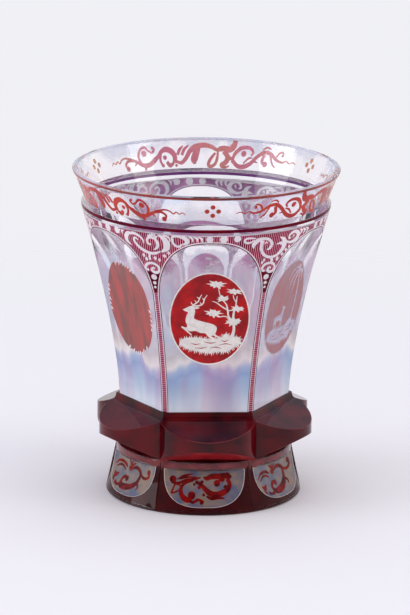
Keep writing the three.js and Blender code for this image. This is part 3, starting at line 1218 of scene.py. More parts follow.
@dataclass
class Arcade:
    """The stained and engraved layer between the panels: hatched frieze, scrolls and ribs."""

    form: Form
    drawn_radius: float = 46.0
    seam: float = 25.4
    line_width: float = 0.36
    pale_width: float = 0.45
    outline_points: int = 44
    outline_below: float = 3.0
    hatch_pitch: float = 0.84
    pale_share: float = 0.38
    hatch_floor: float = 97.5
    hatch_foot_half: float = 6.0
    ladder_pitch: float = 0.8
    rung_share: float = 0.45
    ladder_start: float = 0.3
    ladder_half: float = 1.0
    ladder_top: float = 88.6
    spandrel_floor: float = 88.0
    loose_pitch: tuple[float, float] = (1.9, 2.6)
    bead_level: float = 112.5
    top_line: float = 0.35
    ledge_inset: float = 0.1
    rim_drop: float = 0.7
    rim_turn: float = 0.4

    def place(self, points: Points, depth: float) -> Points:
        """Puts drawn points on the round body: across is an arc from the rib's middle."""
        radius = self.form.outer_radius(points[:, 1]) + depth
        return on_round(points, radius, SECTOR / 2, self.drawn_radius)

    def panel_outline(self, middle: float, margin: float) -> Points:
        """A panel's outline in the drawing, grown by a margin.

        Args:
            middle: where its middle is across the drawing.
            margin: how far its points are pushed out, square to the edge.

        Returns:
            The outline, which starts below the bowl's foot.
        """
        f = self.form
        z = crowded(f.collar_top - self.outline_below, f.arch_top, self.outline_points, ARCH_CROWDING)
        half = np.arcsin(f.panel_half(z) / f.outer_radius(z)) * self.drawn_radius
        right = np.column_stack([half, z])
        edge = np.vstack([right, (right * (-1, 1))[::-1][1:]])
        along = np.gradient(edge, axis=0)
        along /= np.linalg.norm(along, axis=1)[:, None]
        out = np.column_stack([along[:, 1], -along[:, 0]])
        return edge + out * margin + (middle, 0)

    def scrolls(self) -> list[Points]:
        """The engraved scrollwork over every second rib, across from its middle and up from the
        table: two opposed scrolls with a fan of petals between them.

        Returns:
            Its outlines.
        """
        marks = [
            # left scroll: a comma leaf, its arching back and the hook inside it
            stroke([(-6.8, 112.4), (-9.0, 112.4), (-10.3, 110.9), (-10.2, 109.0), (-8.3, 107.4)],
                   [0.5, 1.5, 1.9, 1.5, 0.2]),
            stroke([(-8.6, 112.2), (-6.6, 112.7), (-4.4, 112.0), (-2.9, 110.6), (-2.7, 108.9)],
                   [0.9, 1.3, 1.1, 0.8, 0.2]),
            stroke([(-4.9, 110.2), (-6.2, 110.9), (-6.9, 110.0), (-6.2, 108.5), (-4.9, 107.2),
                    (-3.0, 106.1), (-0.5, 105.3), (2.0, 105.5), (4.2, 106.5)],
                   [0.5, 0.9, 1.0, 1.1, 1.2, 1.3, 1.2, 1.1, 0.5]),
            # the curl in the middle and the broad leaf to the right of it
            stroke([(0.5, 109.0), (-0.8, 109.3), (-1.0, 110.8), (0.3, 112.0), (2.2, 111.6),
                    (3.2, 109.9), (2.9, 108.0), (1.4, 106.9)],
                   [0.9, 0.9, 1.0, 1.1, 1.2, 1.3, 1.1, 0.3]),
            stroke([(3.6, 113.3), (5.6, 112.4), (6.9, 110.2), (6.6, 108.0), (4.6, 106.3)],
                   [0.5, 1.9, 2.7, 2.4, 0.6]),
            stroke([(5.8, 113.5), (7.8, 112.8), (8.5, 111.0)], [0.4, 0.9, 0.3]),
            # right scroll: an arching back, a full breast and the hook inside it
            stroke([(8.9, 111.6), (9.3, 113.0), (11.2, 113.5), (13.3, 113.1), (14.8, 111.9),
                    (14.4, 110.6), (12.8, 110.0)],
                   [0.5, 0.8, 1.1, 1.6, 1.9, 1.4, 0.4]),
            stroke([(9.4, 112.4), (9.3, 110.8), (10.4, 109.4), (11.9, 109.2), (12.7, 110.3)],
                   [0.6, 0.9, 1.0, 0.9, 0.8]),
        ]
        # leaf tips that trail off towards the beads on either side
        for x in (16.6, 18.4, 20.1):
            marks.append(stroke([(x - 1.3, 113.5), (x, 112.9), (x + 0.4, 111.3)], [0.3, 1.0, 0.3]))
        for x in (-12.0, -13.6, -15.1):
            marks.append(stroke([(x + 1.0, 113.2), (x - 0.1, 112.6), (x - 0.1, 111.2)], [0.3, 0.9, 0.3]))
        # a crest of petals over the curl
        for lean in np.radians((-52, -26, 0, 26, 52)):
            way = np.array([np.sin(lean), np.cos(lean)])
            root, tip = (1.4, 111.2) + 1.4 * way, (1.4, 111.2) + 2.6 * way
            marks.append(stroke([root, (root + tip) / 2, tip], [0.5, 1.0, 0.3]))
        marks.append(stroke([(-0.6, 105.0), (-0.9, 103.6), (-0.6, 102.4)], [0.9, 1.1, 0.8]))
        buds = ((-3.4, 104.0, 0.8), (-2.3, 102.6, 0.8), (1.5, 103.4, 0.8), (3.3, 102.8, 0.7),
                (5.6, 104.7, 0.8), (7.4, 106.1, 0.7))
        marks += [disc((x, z), r, 4, 1.25) for x, z, r in buds]
        return marks + self.pendant(0.0)

    def open_scrolls(self) -> list[Points]:
        """The scrollwork over the ribs in between: a wide open scroll with a leaf in its arm.

        Returns:
            Its outlines.
        """
        marks = [
            # the hooded scroll on the left, and the arm that falls from it and rises to a leaf
            stroke([(-7.9, 107.9), (-8.0, 109.6), (-6.5, 111.2), (-4.1, 111.7), (-1.9, 111.1),
                    (-0.4, 109.5), (-0.5, 108.0), (-1.3, 107.1), (-2.3, 107.0)],
                   [0.3, 1.8, 1.9, 1.2, 1.1, 1.2, 1.3, 1.0, 0.3]),
            stroke([(-4.7, 110.9), (-4.7, 107.9), (-3.7, 105.6), (-1.9, 104.1), (0.2, 103.5),
                    (2.5, 103.8), (4.3, 105.0), (5.5, 106.6), (5.8, 108.4), (4.9, 110.4), (3.0, 111.5)],
                   [1.6, 1.3, 1.2, 1.1, 1.1, 1.1, 1.5, 2.1, 2.2, 1.6, 0.3]),
            stroke([(5.5, 107.4), (4.0, 108.9), (1.8, 108.6)], [0.8, 1.3, 0.2]),
            stroke([(-3.3, 109.4), (-2.9, 110.2), (-2.3, 109.6)], [0.5, 0.6, 0.3]),
            # the scroll on the right, curled over on itself
            stroke([(4.4, 110.8), (6.7, 109.1), (9.0, 108.4), (11.2, 109.1), (12.4, 110.4),
                    (11.7, 112.0), (9.7, 112.7), (7.9, 111.8), (7.5, 110.5), (8.5, 110.1)],
                   [0.5, 0.8, 1.1, 1.7, 2.0, 1.6, 1.2, 1.0, 0.9, 0.6]),
            stroke([(9.4, 110.2), (10.0, 111.0), (9.5, 111.5)], [0.5, 0.6, 0.4]),
            # an outlined leaf on the left
            stroke([(-7.4, 112.1), (-9.2, 112.4), (-11.2, 112.3), (-11.9, 111.3), (-10.8, 110.5),
                    (-9.2, 110.7), (-7.9, 111.7)], [0.3, 0.8, 0.9, 0.9, 0.9, 0.8, 0.3]),
        ]
        # leaf tips on the right
        for x in (13.4, 15.2, 17.0):
            marks.append(stroke([(x - 0.8, 113.2), (x + 0.6, 112.3), (x + 0.1, 110.8)], [0.3, 1.2, 0.4]))
        marks.append(stroke([(0.6, 103.2), (1.1, 102.0), (1.1, 100.7)], [1.2, 1.3, 0.8]))
        buds = ((-2.6, 102.6, 0.7), (-3.3, 101.6, 0.6), (3.6, 102.4, 0.9), (5.6, 104.0, 0.7),
                (7.2, 105.6, 0.7), (8.6, 106.7, 0.6))
        marks += [disc((x, z), r, 4, 1.25) for x, z, r in buds]
        return marks + self.pendant(0.3)

    def pendant(self, lean: float) -> list[Points]:
        """The small scroll under the scrollwork and the three beads that hang from it.

        Args:
            lean: how far the beads hang to the left of the rib's middle.

        Returns:
            Its outlines.
        """
        marks = [
            stroke([(-2.5, 97.8), (-2.9, 99.3), (-1.9, 100.6), (0.3, 101.1), (2.4, 100.3), (3.1, 98.9),
                    (2.4, 97.6), (1.0, 97.3), (-0.2, 98.1), (0.2, 99.1), (1.2, 99.0)],
                   [0.4, 1.2, 1.1, 1.0, 1.0, 1.0, 1.1, 1.2, 1.2, 0.9, 0.8]),
            disc((-2.0, 98.1), 0.55, 10),
        ]
        beads = [disc((-lean, 95.3), 1.3, 14, 0.88), disc((-lean, 92.9), 0.82, 12, 0.85)]
        return moved(marks, (lean - 0.3, 0)) + beads + [disc((-lean, 91.1), 0.6, 10, 0.9)]

    def beads(self) -> list[Points]:
        """The three beads over each arch, cut by the seams of the drawing on both sides."""
        beads, turn = ((23.2, 1.35), (28.4, 1.5), (33.5, 1.35)), SECTOR * self.drawn_radius
        return [disc((x + k * turn, self.bead_level), r, 16) for x, r in beads for k in (-1, 0)]

    def mesh(self, scrolls: list[Points], turn: float) -> Body:
        """The layer: the drawing of one sector, cut into triangles and repeated three times.

        Args:
            scrolls: the scrollwork over the rib.
            turn: how far the first sector is turned.

        Returns:
            The layer's body.
        """
        f = self.form
        half = SECTOR / 2 * self.drawn_radius
        top = f.body_top - f.clear_line
        low, high = (self.seam - 2 * half, f.collar_top), (self.seam, top)
        border = np.array([low, (high[0], low[1]), high, (low[0], high[1])])
        panels, lines, pales = (
            [self.panel_outline(middle, margin) for middle in (-half, half)]
            for margin in (0.0, self.line_width, self.line_width + self.pale_width)
        )
        beads = self.beads()
        count = round(2 * half / self.hatch_pitch)
        pitch = 2 * half / count
        step = (1 - self.pale_share) / 2
        x = low[0] + pitch * (np.repeat(np.arange(count), 2) + np.tile([step, 1 - step], count))
        head = top - self.top_line
        upright = np.column_stack([x, np.full_like(x, self.hatch_floor), x, np.full_like(x, head)])
        z = np.arange(f.collar_top + self.ladder_start, self.ladder_top, self.ladder_pitch)
        z = (z[:, None] + [0, self.rung_share * self.ladder_pitch]).ravel()
        wide, foot = self.ladder_half, self.hatch_foot_half
        side = np.full_like(z, wide)
        rungs = np.column_stack([-side, z, side, z])
        rails = np.array([(rail, low[1], rail, self.ladder_top) for rail in (-wide, wide)])
        bands = np.array([
            (low[0], head, high[0], head),
            (-foot, self.hatch_floor, foot, self.hatch_floor),
            (-wide, self.ladder_top, wide, self.ladder_top),
        ])
        # only the broad spandrels need loose points to bend with the glass
        loose = lattice((low[0], self.spandrel_floor), high, self.loose_pitch)
        points, triangles = triangulate(
            [border, *panels, *lines, *pales, *scrolls, *beads],
            np.vstack([upright, rungs, rails, bands]), loose,
        )
        c = points[triangles].mean(1)
        cover = np.full(len(c), Cover.RUBY)
        part = (c[:, 0] - low[0]) / pitch % 1
        cover[(c[:, 1] > self.hatch_floor) & (np.abs(part - 0.5) < self.pale_share / 2)] = Cover.THINNED_AND_SHEEN
        rise = (c[:, 1] - f.collar_top - self.ladder_start) / self.ladder_pitch % 1
        ladder = (c[:, 1] < self.ladder_top) & (np.abs(c[:, 0]) < self.ladder_half)
        cover[ladder & (rise < 0.5)] = Cover.THINNED_AND_SHEEN
        cover[inside_any(c, pales)] = Cover.ENGRAVED
        cover[inside_any(c, lines)] = Cover.RUBY
        cover[inside_any(c, [*scrolls, *beads]) & ~inside_any(c, lines)] = Cover.ENGRAVED
        cover[c[:, 1] > head] = Cover.ENGRAVED
        outside = (c[:, 0] < low[0]) | (c[:, 0] > high[0]) | (c[:, 1] < low[1]) | (c[:, 1] > high[1])
        cover[outside | inside_any(c, panels)] = Cover.NONE
        return layer(points, triangles, cover, self.place, PANELS // 2, turn)

    def build(self) -> None:
        """Adds the arcade, the line of stain on the ledge and the line of enamel on the lip."""
        f = self.form
        stained = (RUBY_THICK, ENGRAVED_FINE, CRYSTAL, THICK_BEHIND, RUBY_THINNED)
        whole = self.mesh(self.open_scrolls(), 0.0).joined(self.mesh(self.scrolls(), SECTOR))
        add_piece("arcade_stain", whole, stained, ["arcade_ruby"])
        z = np.linspace(f.body_top + self.ledge_inset, f.ledge_top - self.ledge_inset, 3)
        line = band(np.column_stack([f.outer_radius(z), z]))
        stained = (RUBY_THICK, ENGRAVED, CRYSTAL, LEDGE_BEHIND)
        add_piece("ledge_line_stain", line, stained, ["ledge_line"])
        top = f.lip - f.lip_round
        z = np.linspace(top - self.rim_drop, top, 3)[:-1]
        lip = np.column_stack(f.lip_curve(np.linspace(0, self.rim_turn, 5)))
        rim = band(np.vstack([np.column_stack([f.outer_radius(z), z]), lip]))
        add_piece("rim_line_enamel", rim, (RIM, RIM, RIM, RIM_BEHIND), ["rim_line"])


@dataclass
class Medallions:
    """Six stained ovals on the panels, five engraved with an animal in a woodland and one plain,
    with leaf tips every few degrees along stretches of its edge."""

    form: Form
    ring_width: float = 0.55
    tip_spacing: float = 6.0
    worn_stretches: tuple[tuple[float, float], ...] = ((58, 112), (160, 196), (250, 306), (340, 370))
    oval_points: int = 96
    loose_pitch: tuple[float, float] = (3.0, 2.4)

    def tree(self) -> list[Points]:
        """A wind-blown tree: trunk, boughs and flat tufts of leaves.

        Returns:
            Its outlines, across and up from the medallion's middle.
        """
        return [
            stroke([(8.6, -8.6), (9.3, -5.6), (9.4, -3.4), (9.1, -1.4), (9.2, 2.2), (9.9, 4.7),
                    (10.1, 6.8), (10.4, 9.3)], [1.7, 1.1, 1.0, 1.0, 0.8, 0.6, 0.5, 0.3]),
            stroke([(8.6, -0.9), (7.3, 0.7), (6.9, 3.2), (6.3, 5.8), (5.0, 7.5), (3.8, 9.8), (3.2, 12.6)],
                   [0.6, 0.7, 0.7, 0.5, 0.4, 0.35, 0.3]),
            stroke([(6.6, 3.6), (4.5, 5.0), (2.6, 6.5), (0.9, 7.2)], [0.5, 0.5, 0.4, 0.2]),
            stroke([(7.3, 0.4), (5.4, 0.9), (3.6, 0.6), (2.2, 1.4)], [0.4, 0.4, 0.4, 0.3]),
            stroke([(10.0, 6.8), (9.2, 8.2), (8.8, 9.8)], [0.4, 0.35, 0.25]),
            stroke([(7.0, 3.2), (8.4, 3.4), (9.4, 3.6)], [0.4, 0.4, 0.4]),
            burst((2.3, 14.3), 4.3, 2.2, 9, 12),
            burst((9.3, 11.2), 3.9, 1.7, 8, 5),
            burst((5.0, 8.2), 3.5, 1.7, 8, 9),
            burst((1.4, 2.2), 4.0, 2.3, 9, -6),
            burst((10.7, 4.0), 3.7, 1.6, 8, 4),
            burst((9.2, -1.3), 4.7, 2.2, 9, 10),
        ]

    def ground(self) -> list[Points]:
        """A bank of turf with blades along its upper edge and roots below.

        Returns:
            Its one outline.
        """
        above = grass(
            [(12.0, -10.8), (11.6, -8.2), (9.6, -8.2), (7.4, -7.2), (6.2, -6.6), (4.6, -8.3),
             (0.0, -8.8), (-5.0, -8.2), (-9.0, -8.4), (-11.3, -9.4)], -1.5, 0.62, 0.3)
        below = grass(
            [(-11.4, -10.6), (-8.2, -12.4), (-4.5, -13.4), (0.0, -14.3), (3.6, -13.6),
             (6.4, -13.9), (9.0, -12.2), (11.6, -10.9)], -1.7, 0.7, 0.0)
        return [np.vstack([above, below])]

    def stag(self) -> list[Points]:
        """A leaping stag with its head up, facing left.

        Returns:
            Its outlines.
        """
        return [
            smooth_line([
                (-10.4, 3.7), (-8.4, 4.8), (-7.0, 5.3), (-6.0, 4.6), (-5.6, 3.2), (-5.8, 1.6), (-5.8, -0.1),
                (-3.0, -1.2), (0.3, -2.1), (1.9, -2.8), (2.8, -3.8), (2.7, -5.2), (2.2, -6.4), (1.2, -7.2),
                (-0.8, -6.9), (-1.6, -6.2), (-3.5, -6.0), (-5.4, -5.2), (-7.4, -5.3), (-9.0, -4.2),
                (-8.5, -3.0), (-9.2, -1.2), (-8.9, 1.2), (-8.3, 2.5), (-9.4, 3.1), (-10.4, 3.7)], 4)[:-1],
            stroke([(-6.3, 4.3), (-4.9, 4.4), (-4.0, 4.4)], [0.6, 0.9, 0.2]),
            stroke([(-8.0, -4.4), (-9.4, -4.1), (-10.7, -3.4)], [1.2, 0.8, 0.5]),
            stroke([(-10.7, -3.4), (-8.8, -5.0), (-6.8, -6.9)], [0.5, 0.6, 0.4]),
            stroke([(1.2, -5.8), (2.4, -7.2), (4.4, -8.3)], [1.4, 0.8, 0.4]),
            stroke([(-0.4, -6.4), (0.6, -7.8), (2.5, -8.8)], [1.6, 0.9, 0.4]),
            stroke([(-6.6, 5.1), (-5.8, 6.0), (-4.6, 7.0), (-3.9, 8.6), (-3.2, 10.0)],
                   [0.6, 0.5, 0.5, 0.4, 0.2]),
            stroke([(-5.9, 7.7), (-5.3, 6.9), (-5.0, 6.5)], [0.2, 0.4, 0.4]),
            stroke([(-5.1, 9.0), (-4.4, 8.5), (-4.0, 8.2)], [0.2, 0.4, 0.4]),
            stroke([(-7.3, 6.9), (-6.9, 6.1), (-6.2, 5.7)], [0.2, 0.4, 0.4]),
            stroke([(-6.2, 5.2), (-3.9, 5.4), (-2.6, 6.3), (-2.1, 8.1), (-1.1, 9.8)],
                   [0.6, 0.6, 0.5, 0.4, 0.2]),
            stroke([(-3.8, 6.8), (-3.4, 6.1), (-3.1, 5.8)], [0.2, 0.4, 0.4]),
            stroke([(-2.9, 8.6), (-2.5, 7.9), (-2.2, 7.5)], [0.2, 0.4, 0.4]),
        ]

    def hind(self) -> list[Points]:
        """A standing hind with its head raised, facing right.

        Returns:
            Its outlines.
        """
        return [
            smooth_line([
                (3.4, 5.0), (2.0, 5.8), (0.8, 5.6), (0.4, 4.0), (-0.2, 2.0), (-2.2, 1.2), (-5.4, 1.2),
                (-6.6, 0.4), (-6.8, -1.6), (-6.0, -3.0), (-4.4, -2.4), (-1.4, -2.6), (0.6, -2.6),
                (2.0, -1.0), (2.2, 1.4), (2.2, 3.4), (3.0, 4.2), (3.4, 5.0)], 4)[:-1],
            stroke([(-6.0, -1.8), (-6.6, -4.4), (-5.9, -6.6), (-6.2, -8.6)], [1.8, 0.9, 0.5, 0.5]),
            stroke([(-4.9, -1.8), (-4.9, -4.4), (-4.2, -6.4), (-4.5, -8.6)], [1.6, 0.8, 0.5, 0.5]),
            stroke([(0.2, -1.8), (0.1, -4.6), (0.4, -6.4), (0.1, -8.4)], [1.5, 0.7, 0.5, 0.5]),
            stroke([(1.2, -1.6), (1.7, -4.6), (1.4, -6.4), (1.7, -8.4)], [1.3, 0.7, 0.5, 0.5]),
            stroke([(0.9, 5.3), (0.1, 6.4), (-0.3, 7.0)], [0.7, 0.8, 0.2]),
            stroke([(-6.6, 0.6), (-7.4, 0.1), (-7.6, -0.8)], [0.7, 0.6, 0.2]),
        ]

    def palm(self) -> list[Points]:
        """A tall palm: a bare trunk towards the oval's edge and a crown of drooping fronds.

        Returns:
            Its outlines.
        """
        fronds = [
            [(7.4, 14.0), (4.6, 15.4), (1.4, 14.4), (-0.8, 11.2)],
            [(7.4, 13.8), (4.8, 13.4), (2.4, 10.8), (1.2, 7.0)],
            [(7.4, 13.6), (6.0, 11.6), (4.9, 8.6), (4.6, 5.4)],
            [(7.6, 13.8), (9.4, 13.0), (10.6, 10.6), (10.8, 8.2)],
            [(7.5, 14.0), (6.4, 15.8), (4.6, 16.6)],
        ]
        trunk = stroke([(7.4, -9.0), (8.4, -4.0), (9.0, 2.0), (8.8, 8.0), (7.5, 14.0)],
                       [1.3, 0.9, 0.7, 0.6, 0.6])
        return [trunk, *(stroke(frond, [0.7, 1.0, 0.6, 0.2]) for frond in fronds)]

    def slits(self) -> list[Points]:
        """Cuts in the bank of turf where the stain is left.

        Returns:
            Their outlines.
        """
        cuts = [
            [(-7.4, -10.2), (-5.2, -10.8), (-3.2, -10.5)], [(-2.0, -9.8), (0.6, -10.3), (3.0, -9.9)],
            [(3.8, -11.2), (6.2, -10.6), (8.8, -11.0)], [(-5.6, -12.2), (-3.0, -12.4), (-0.8, -12.0)],
            [(0.4, -12.4), (2.6, -12.0), (5.0, -12.6)], [(4.4, -9.2), (6.0, -9.6), (7.6, -9.0)],
        ]
        return [stroke(cut, [0.1, 0.42, 0.1]) for cut in cuts]

    def chips(self) -> list[Points]:
        """Leaf tips that only reach over stretches of the oval's edge, about a plain field.

        Returns:
            Their outlines.
        """
        wide, tall = self.form.medallion_width / 2, self.form.medallion_height / 2
        marks = []
        for start, stop in self.worn_stretches:
            for k, turn in enumerate(np.radians(np.arange(start, stop, self.tip_spacing))):
                edge = np.array([wide * np.cos(turn), tall * np.sin(turn)])
                reach = 0.94 + 0.03 * np.sin(2.7 * k + start)
                side = np.array([-np.sin(turn), np.cos(turn)]) * 0.4
                middle = edge * (1 + reach) / 2 + side
                marks.append(stroke([edge * 1.01, middle, edge * reach + 2 * side], [1.3, 0.9, 0.2]))
        return marks

    def engraving(self, index: int) -> list[Points]:
        """The picture on a panel.

        Args:
            index: the panel's number, anticlockwise from the front.

        Returns:
            Its outlines.
        """
        if index == PANELS - 1:
            return self.chips()
        if index == 1:
            # a small hind between the palm and the edge
            return moved(self.hind(), (-1.5, -3.4), (0.84, 0.62)) + self.palm() + self.ground()
        animal = self.hind() if index % 2 else self.stag()
        marks = animal + self.tree() + self.ground()
        return marks if index == 0 else mirrored(marks)

    def mesh(self, index: int) -> Body:
        """The layer of one panel: a stained oval, the engraving in it and a pale ring round it.

        Args:
            index: the panel's number, anticlockwise from the front.

        Returns:
            The layer's body.
        """
        f = self.form

        def place(points: Points, depth: float) -> Points:
            """Puts drawn points on the panel's face."""
            z = points[:, 1] + f.medallion_level
            flat = np.column_stack([points[:, 0], -(f.panel_distance(z) + depth), z])
            return turned(flat, index * SECTOR)

        wide, tall = f.medallion_width / 2, f.medallion_height / 2
        ring_wide, ring_tall = wide + self.ring_width, tall + self.ring_width
        oval = disc((0, 0), wide, self.oval_points, tall / wide)
        rim = disc((0, 0), ring_wide, self.oval_points, ring_tall / ring_wide)
        marks = self.engraving(index)
        plain = index == PANELS - 1
        cuts = [] if plain else self.slits()
        loose = lattice((-wide, -tall), (wide, tall), self.loose_pitch)
        points, triangles = triangulate([oval, rim, *marks, *cuts], NO_LINES, loose)
        c = points[triangles].mean(1)
        cover = np.full(len(c), Cover.RUBY)
        cover[inside_any(c, marks)] = Cover.ENGRAVED
        cover[inside_any(c, cuts)] = Cover.RUBY
        cover[~inside(c, oval)] = Cover.NONE if plain else Cover.ENGRAVED
        cover[~inside(c, rim)] = Cover.NONE
        return layer(points, triangles, cover, place)

    def build(self) -> None:
        """Adds the six medallions."""
        stains = {1: RUBY_FADED, PANELS - 1: RUBY_STREAKED}
        # the front one is cut deepest and whitest, and the others let the light through
        cuts = {0: (ENGRAVED, ENGRAVED_BEHIND), 1: (ENGRAVED_WORN, CRYSTAL)}
        for index in range(PANELS):
            name = f"medallion_{index + 1}"
            engraved = cuts.get(index, (ENGRAVED_FINE, CRYSTAL))
            finishes = (stains.get(index, RUBY), *engraved, THIN_BEHIND)
            add_piece(name + "_stain", self.mesh(index), finishes, [name])


@dataclass
class NeckScrolls:
    """Three stained flourishes round the neck, with a lozenge of four dots between them."""

    form: Form
    drawn_radius: float = 50.0
    middle: float = 123.8
    repeats: int = 3
    loose_pitch: tuple[float, float] = (1.6, 2.0)

    def flourish(self) -> list[Points]:
        """A flourish: a looped leaf and a plume in the middle, and scrolling stems that thin to
        tendrils. It's drawn as it is seen from inside the mouth, and then mirrored.

        Returns:
            Its outlines as seen from outside.
        """
        marks = [
            # the looped leaf, its drop, the loop and the plume
            stroke([(-10.4, 120.9), (-8.0, 120.2), (-5.9, 121.9), (-4.3, 124.3), (-1.9, 126.0),
                    (1.4, 126.6), (4.6, 126.0), (6.6, 125.0), (9.0, 125.2)],
                   [0.9, 1.4, 1.6, 1.8, 2.1, 1.9, 1.5, 1.3, 1.6]),
            stroke([(-0.4, 126.0), (-1.7, 123.6), (-2.5, 121.2), (-2.3, 119.6)], [1.4, 2.8, 3.0, 1.0]),
            stroke([(6.2, 123.8), (4.2, 121.4), (3.4, 119.4), (4.4, 118.7), (6.2, 119.7), (7.0, 121.8),
                    (7.2, 124.6)], [0.9, 1.3, 1.4, 1.3, 1.2, 1.2, 0.8]),
            stroke([(7.4, 125.4), (9.6, 125.6), (11.8, 125.2), (13.4, 126.4), (14.0, 128.2)],
                   [1.5, 2.0, 2.4, 2.4, 1.6]),
            disc((14.0, 128.0), 1.0, 12),
            stroke([(9.4, 124.4), (11.4, 122.4), (10.6, 120.4), (8.9, 119.4), (10.0, 118.5), (12.2, 119.1)],
                   [1.4, 2.2, 2.0, 1.6, 1.1, 0.6]),
            stroke([(11.4, 122.4), (13.4, 121.6), (13.6, 120.0)], [1.4, 1.2, 0.4]),
            # fronds left of the leaf
            stroke([(-9.4, 123.2), (-8.3, 125.2), (-6.9, 126.4)], [1.2, 1.2, 0.5]),
            stroke([(-7.6, 123.0), (-6.4, 125.2), (-4.6, 126.6)], [1.2, 1.2, 0.5]),
            stroke([(-10.6, 124.6), (-10.4, 122.2)], [0.3, 0.5]),
            disc((-10.2, 119.3), 0.6, 10),
            # the long stem on the left and its tendril
            stroke([(-10.9, 120.2), (-10.6, 122.6), (-11.9, 124.5), (-14.0, 125.4), (-16.0, 124.8),
                    (-17.7, 123.1), (-20.0, 121.3), (-22.9, 120.1), (-25.7, 120.5), (-28.2, 121.9),
                    (-30.6, 122.9), (-33.4, 123.8), (-35.6, 123.4), (-37.0, 122.3), (-38.1, 123.2),
                    (-39.3, 122.4), (-40.7, 123.0), (-41.6, 122.0)],
                   [1.7, 2.0, 2.2, 2.1, 1.6, 1.3, 1.7, 1.8, 1.5, 1.2, 1.1, 0.7, 0.6, 0.55, 0.5, 0.45,
                    0.4, 0.35]),
            stroke([(-14.2, 120.8), (-12.9, 119.4), (-11.2, 120.3)], [1.3, 1.7, 1.0]),
            disc((-14.9, 122.4), 0.85, 12),
            stroke([(-16.2, 119.5), (-17.0, 121.6), (-16.4, 123.8)], [1.0, 1.0, 0.8]),
            disc((-16.0, 119.5), 0.7, 10),
            stroke([(-25.7, 120.7), (-26.8, 123.4), (-25.5, 126.0), (-23.3, 126.8), (-21.8, 125.4),
                    (-20.2, 124.6), (-19.2, 125.8), (-20.0, 126.6)],
                   [1.1, 1.0, 1.0, 1.0, 0.8, 0.8, 0.8, 0.5]),
            disc((-24.0, 124.6), 1.2, 12),
            disc((-19.8, 126.3), 0.55, 10),
            stroke([(-23.4, 120.0), (-24.4, 118.9)], [1.3, 0.9]),
            disc((-24.2, 118.8), 0.6, 10),
            stroke([(-20.7, 121.2), (-19.4, 122.6), (-18.0, 122.4)], [0.7, 0.7, 0.3]),
            stroke([(-29.8, 122.4), (-32.2, 122.6), (-33.9, 121.4), (-33.5, 119.9)], [1.0, 1.0, 0.9, 0.8]),
            disc((-33.0, 119.8), 1.0, 12),
            stroke([(-28.0, 121.6), (-29.3, 120.4)], [0.8, 0.4]),
            # the stem on the right and its tendril
            stroke([(13.3, 120.4), (14.2, 123.6), (16.8, 126.0), (20.1, 126.3), (21.9, 124.9),
                    (21.2, 123.4)], [1.0, 1.4, 1.5, 1.3, 1.0, 0.7]),
            disc((18.0, 124.0), 1.15, 12),
            stroke([(13.6, 121.2), (15.6, 119.4), (18.4, 119.2), (21.3, 120.6), (23.8, 123.2), (26.8, 125.2),
                    (29.9, 124.9), (32.7, 123.2), (36.0, 122.5), (38.0, 123.3), (39.8, 122.6), (41.6, 123.3),
                    (43.2, 122.8)], [1.3, 1.6, 1.8, 1.6, 1.4, 1.5, 1.4, 1.1, 0.8, 0.5, 0.45, 0.4, 0.35]),
            stroke([(18.2, 120.4), (20.2, 122.4), (22.0, 122.8)], [0.6, 0.9, 0.4]),
            stroke([(19.6, 120.0), (22.4, 121.4), (24.4, 121.2)], [0.6, 0.9, 0.4]),
            stroke([(27.0, 124.4), (26.4, 121.9), (27.6, 120.7)], [1.3, 1.4, 1.0]),
            disc((27.9, 120.9), 1.1, 12),
            stroke([(26.0, 126.0), (27.6, 127.2), (29.6, 126.6)], [0.6, 0.7, 0.4]),
            stroke([(32.4, 123.5), (33.7, 125.6), (35.4, 126.2), (36.0, 124.9)], [0.7, 0.8, 0.7, 0.5]),
            disc((35.6, 125.0), 0.6, 10),
            stroke([(29.6, 124.6), (31.2, 121.6), (33.0, 120.2)], [0.8, 0.8, 0.4]),
        ]
        return mirrored(marks)

    def dots(self) -> list[Points]:
        """Four dots in a lozenge."""
        level = self.middle
        return [disc((x, level + z), 0.95, 14) for x, z in ((0, 1.9), (-2.2, 0.1), (2.2, 0.1), (0, -1.7))]

    def mesh(self, marks: list[Points], middle: float) -> Body:
        """The layer of a set of marks.

        Args:
            marks: their outlines.
            middle: the angle of their middle from the front.

        Returns:
            The layer's body.
        """

        def place(points: Points, depth: float) -> Points:
            """Puts drawn points on the neck: across is an arc from the middle."""
            radius = self.form.outer_radius(points[:, 1]) + depth
            return on_round(points, radius, middle, self.drawn_radius)

        every = np.vstack(marks)
        loose = lattice(every.min(0), every.max(0), self.loose_pitch)
        points, triangles = triangulate(marks, NO_LINES, loose)
        c = points[triangles].mean(1)
        cover = np.where(inside_any(c, marks), Cover.RUBY, Cover.NONE)
        return layer(points, triangles, cover, place)

    def build(self) -> None:
        """Adds the flourishes and the lozenges."""
        finishes = (RUBY_PAINTED, ENGRAVED, CRYSTAL, PAINTED_BEHIND)
        for index in range(self.repeats):
            middle = SECTOR + index * 2 * np.pi / self.repeats
            flourish = self.mesh(self.flourish(), middle)
            add_piece(f"neck_flourish_{index + 1}", flourish, finishes)
            dots = self.mesh(self.dots(), middle - SECTOR)
            add_piece(f"neck_dots_{index + 1}", dots, finishes)


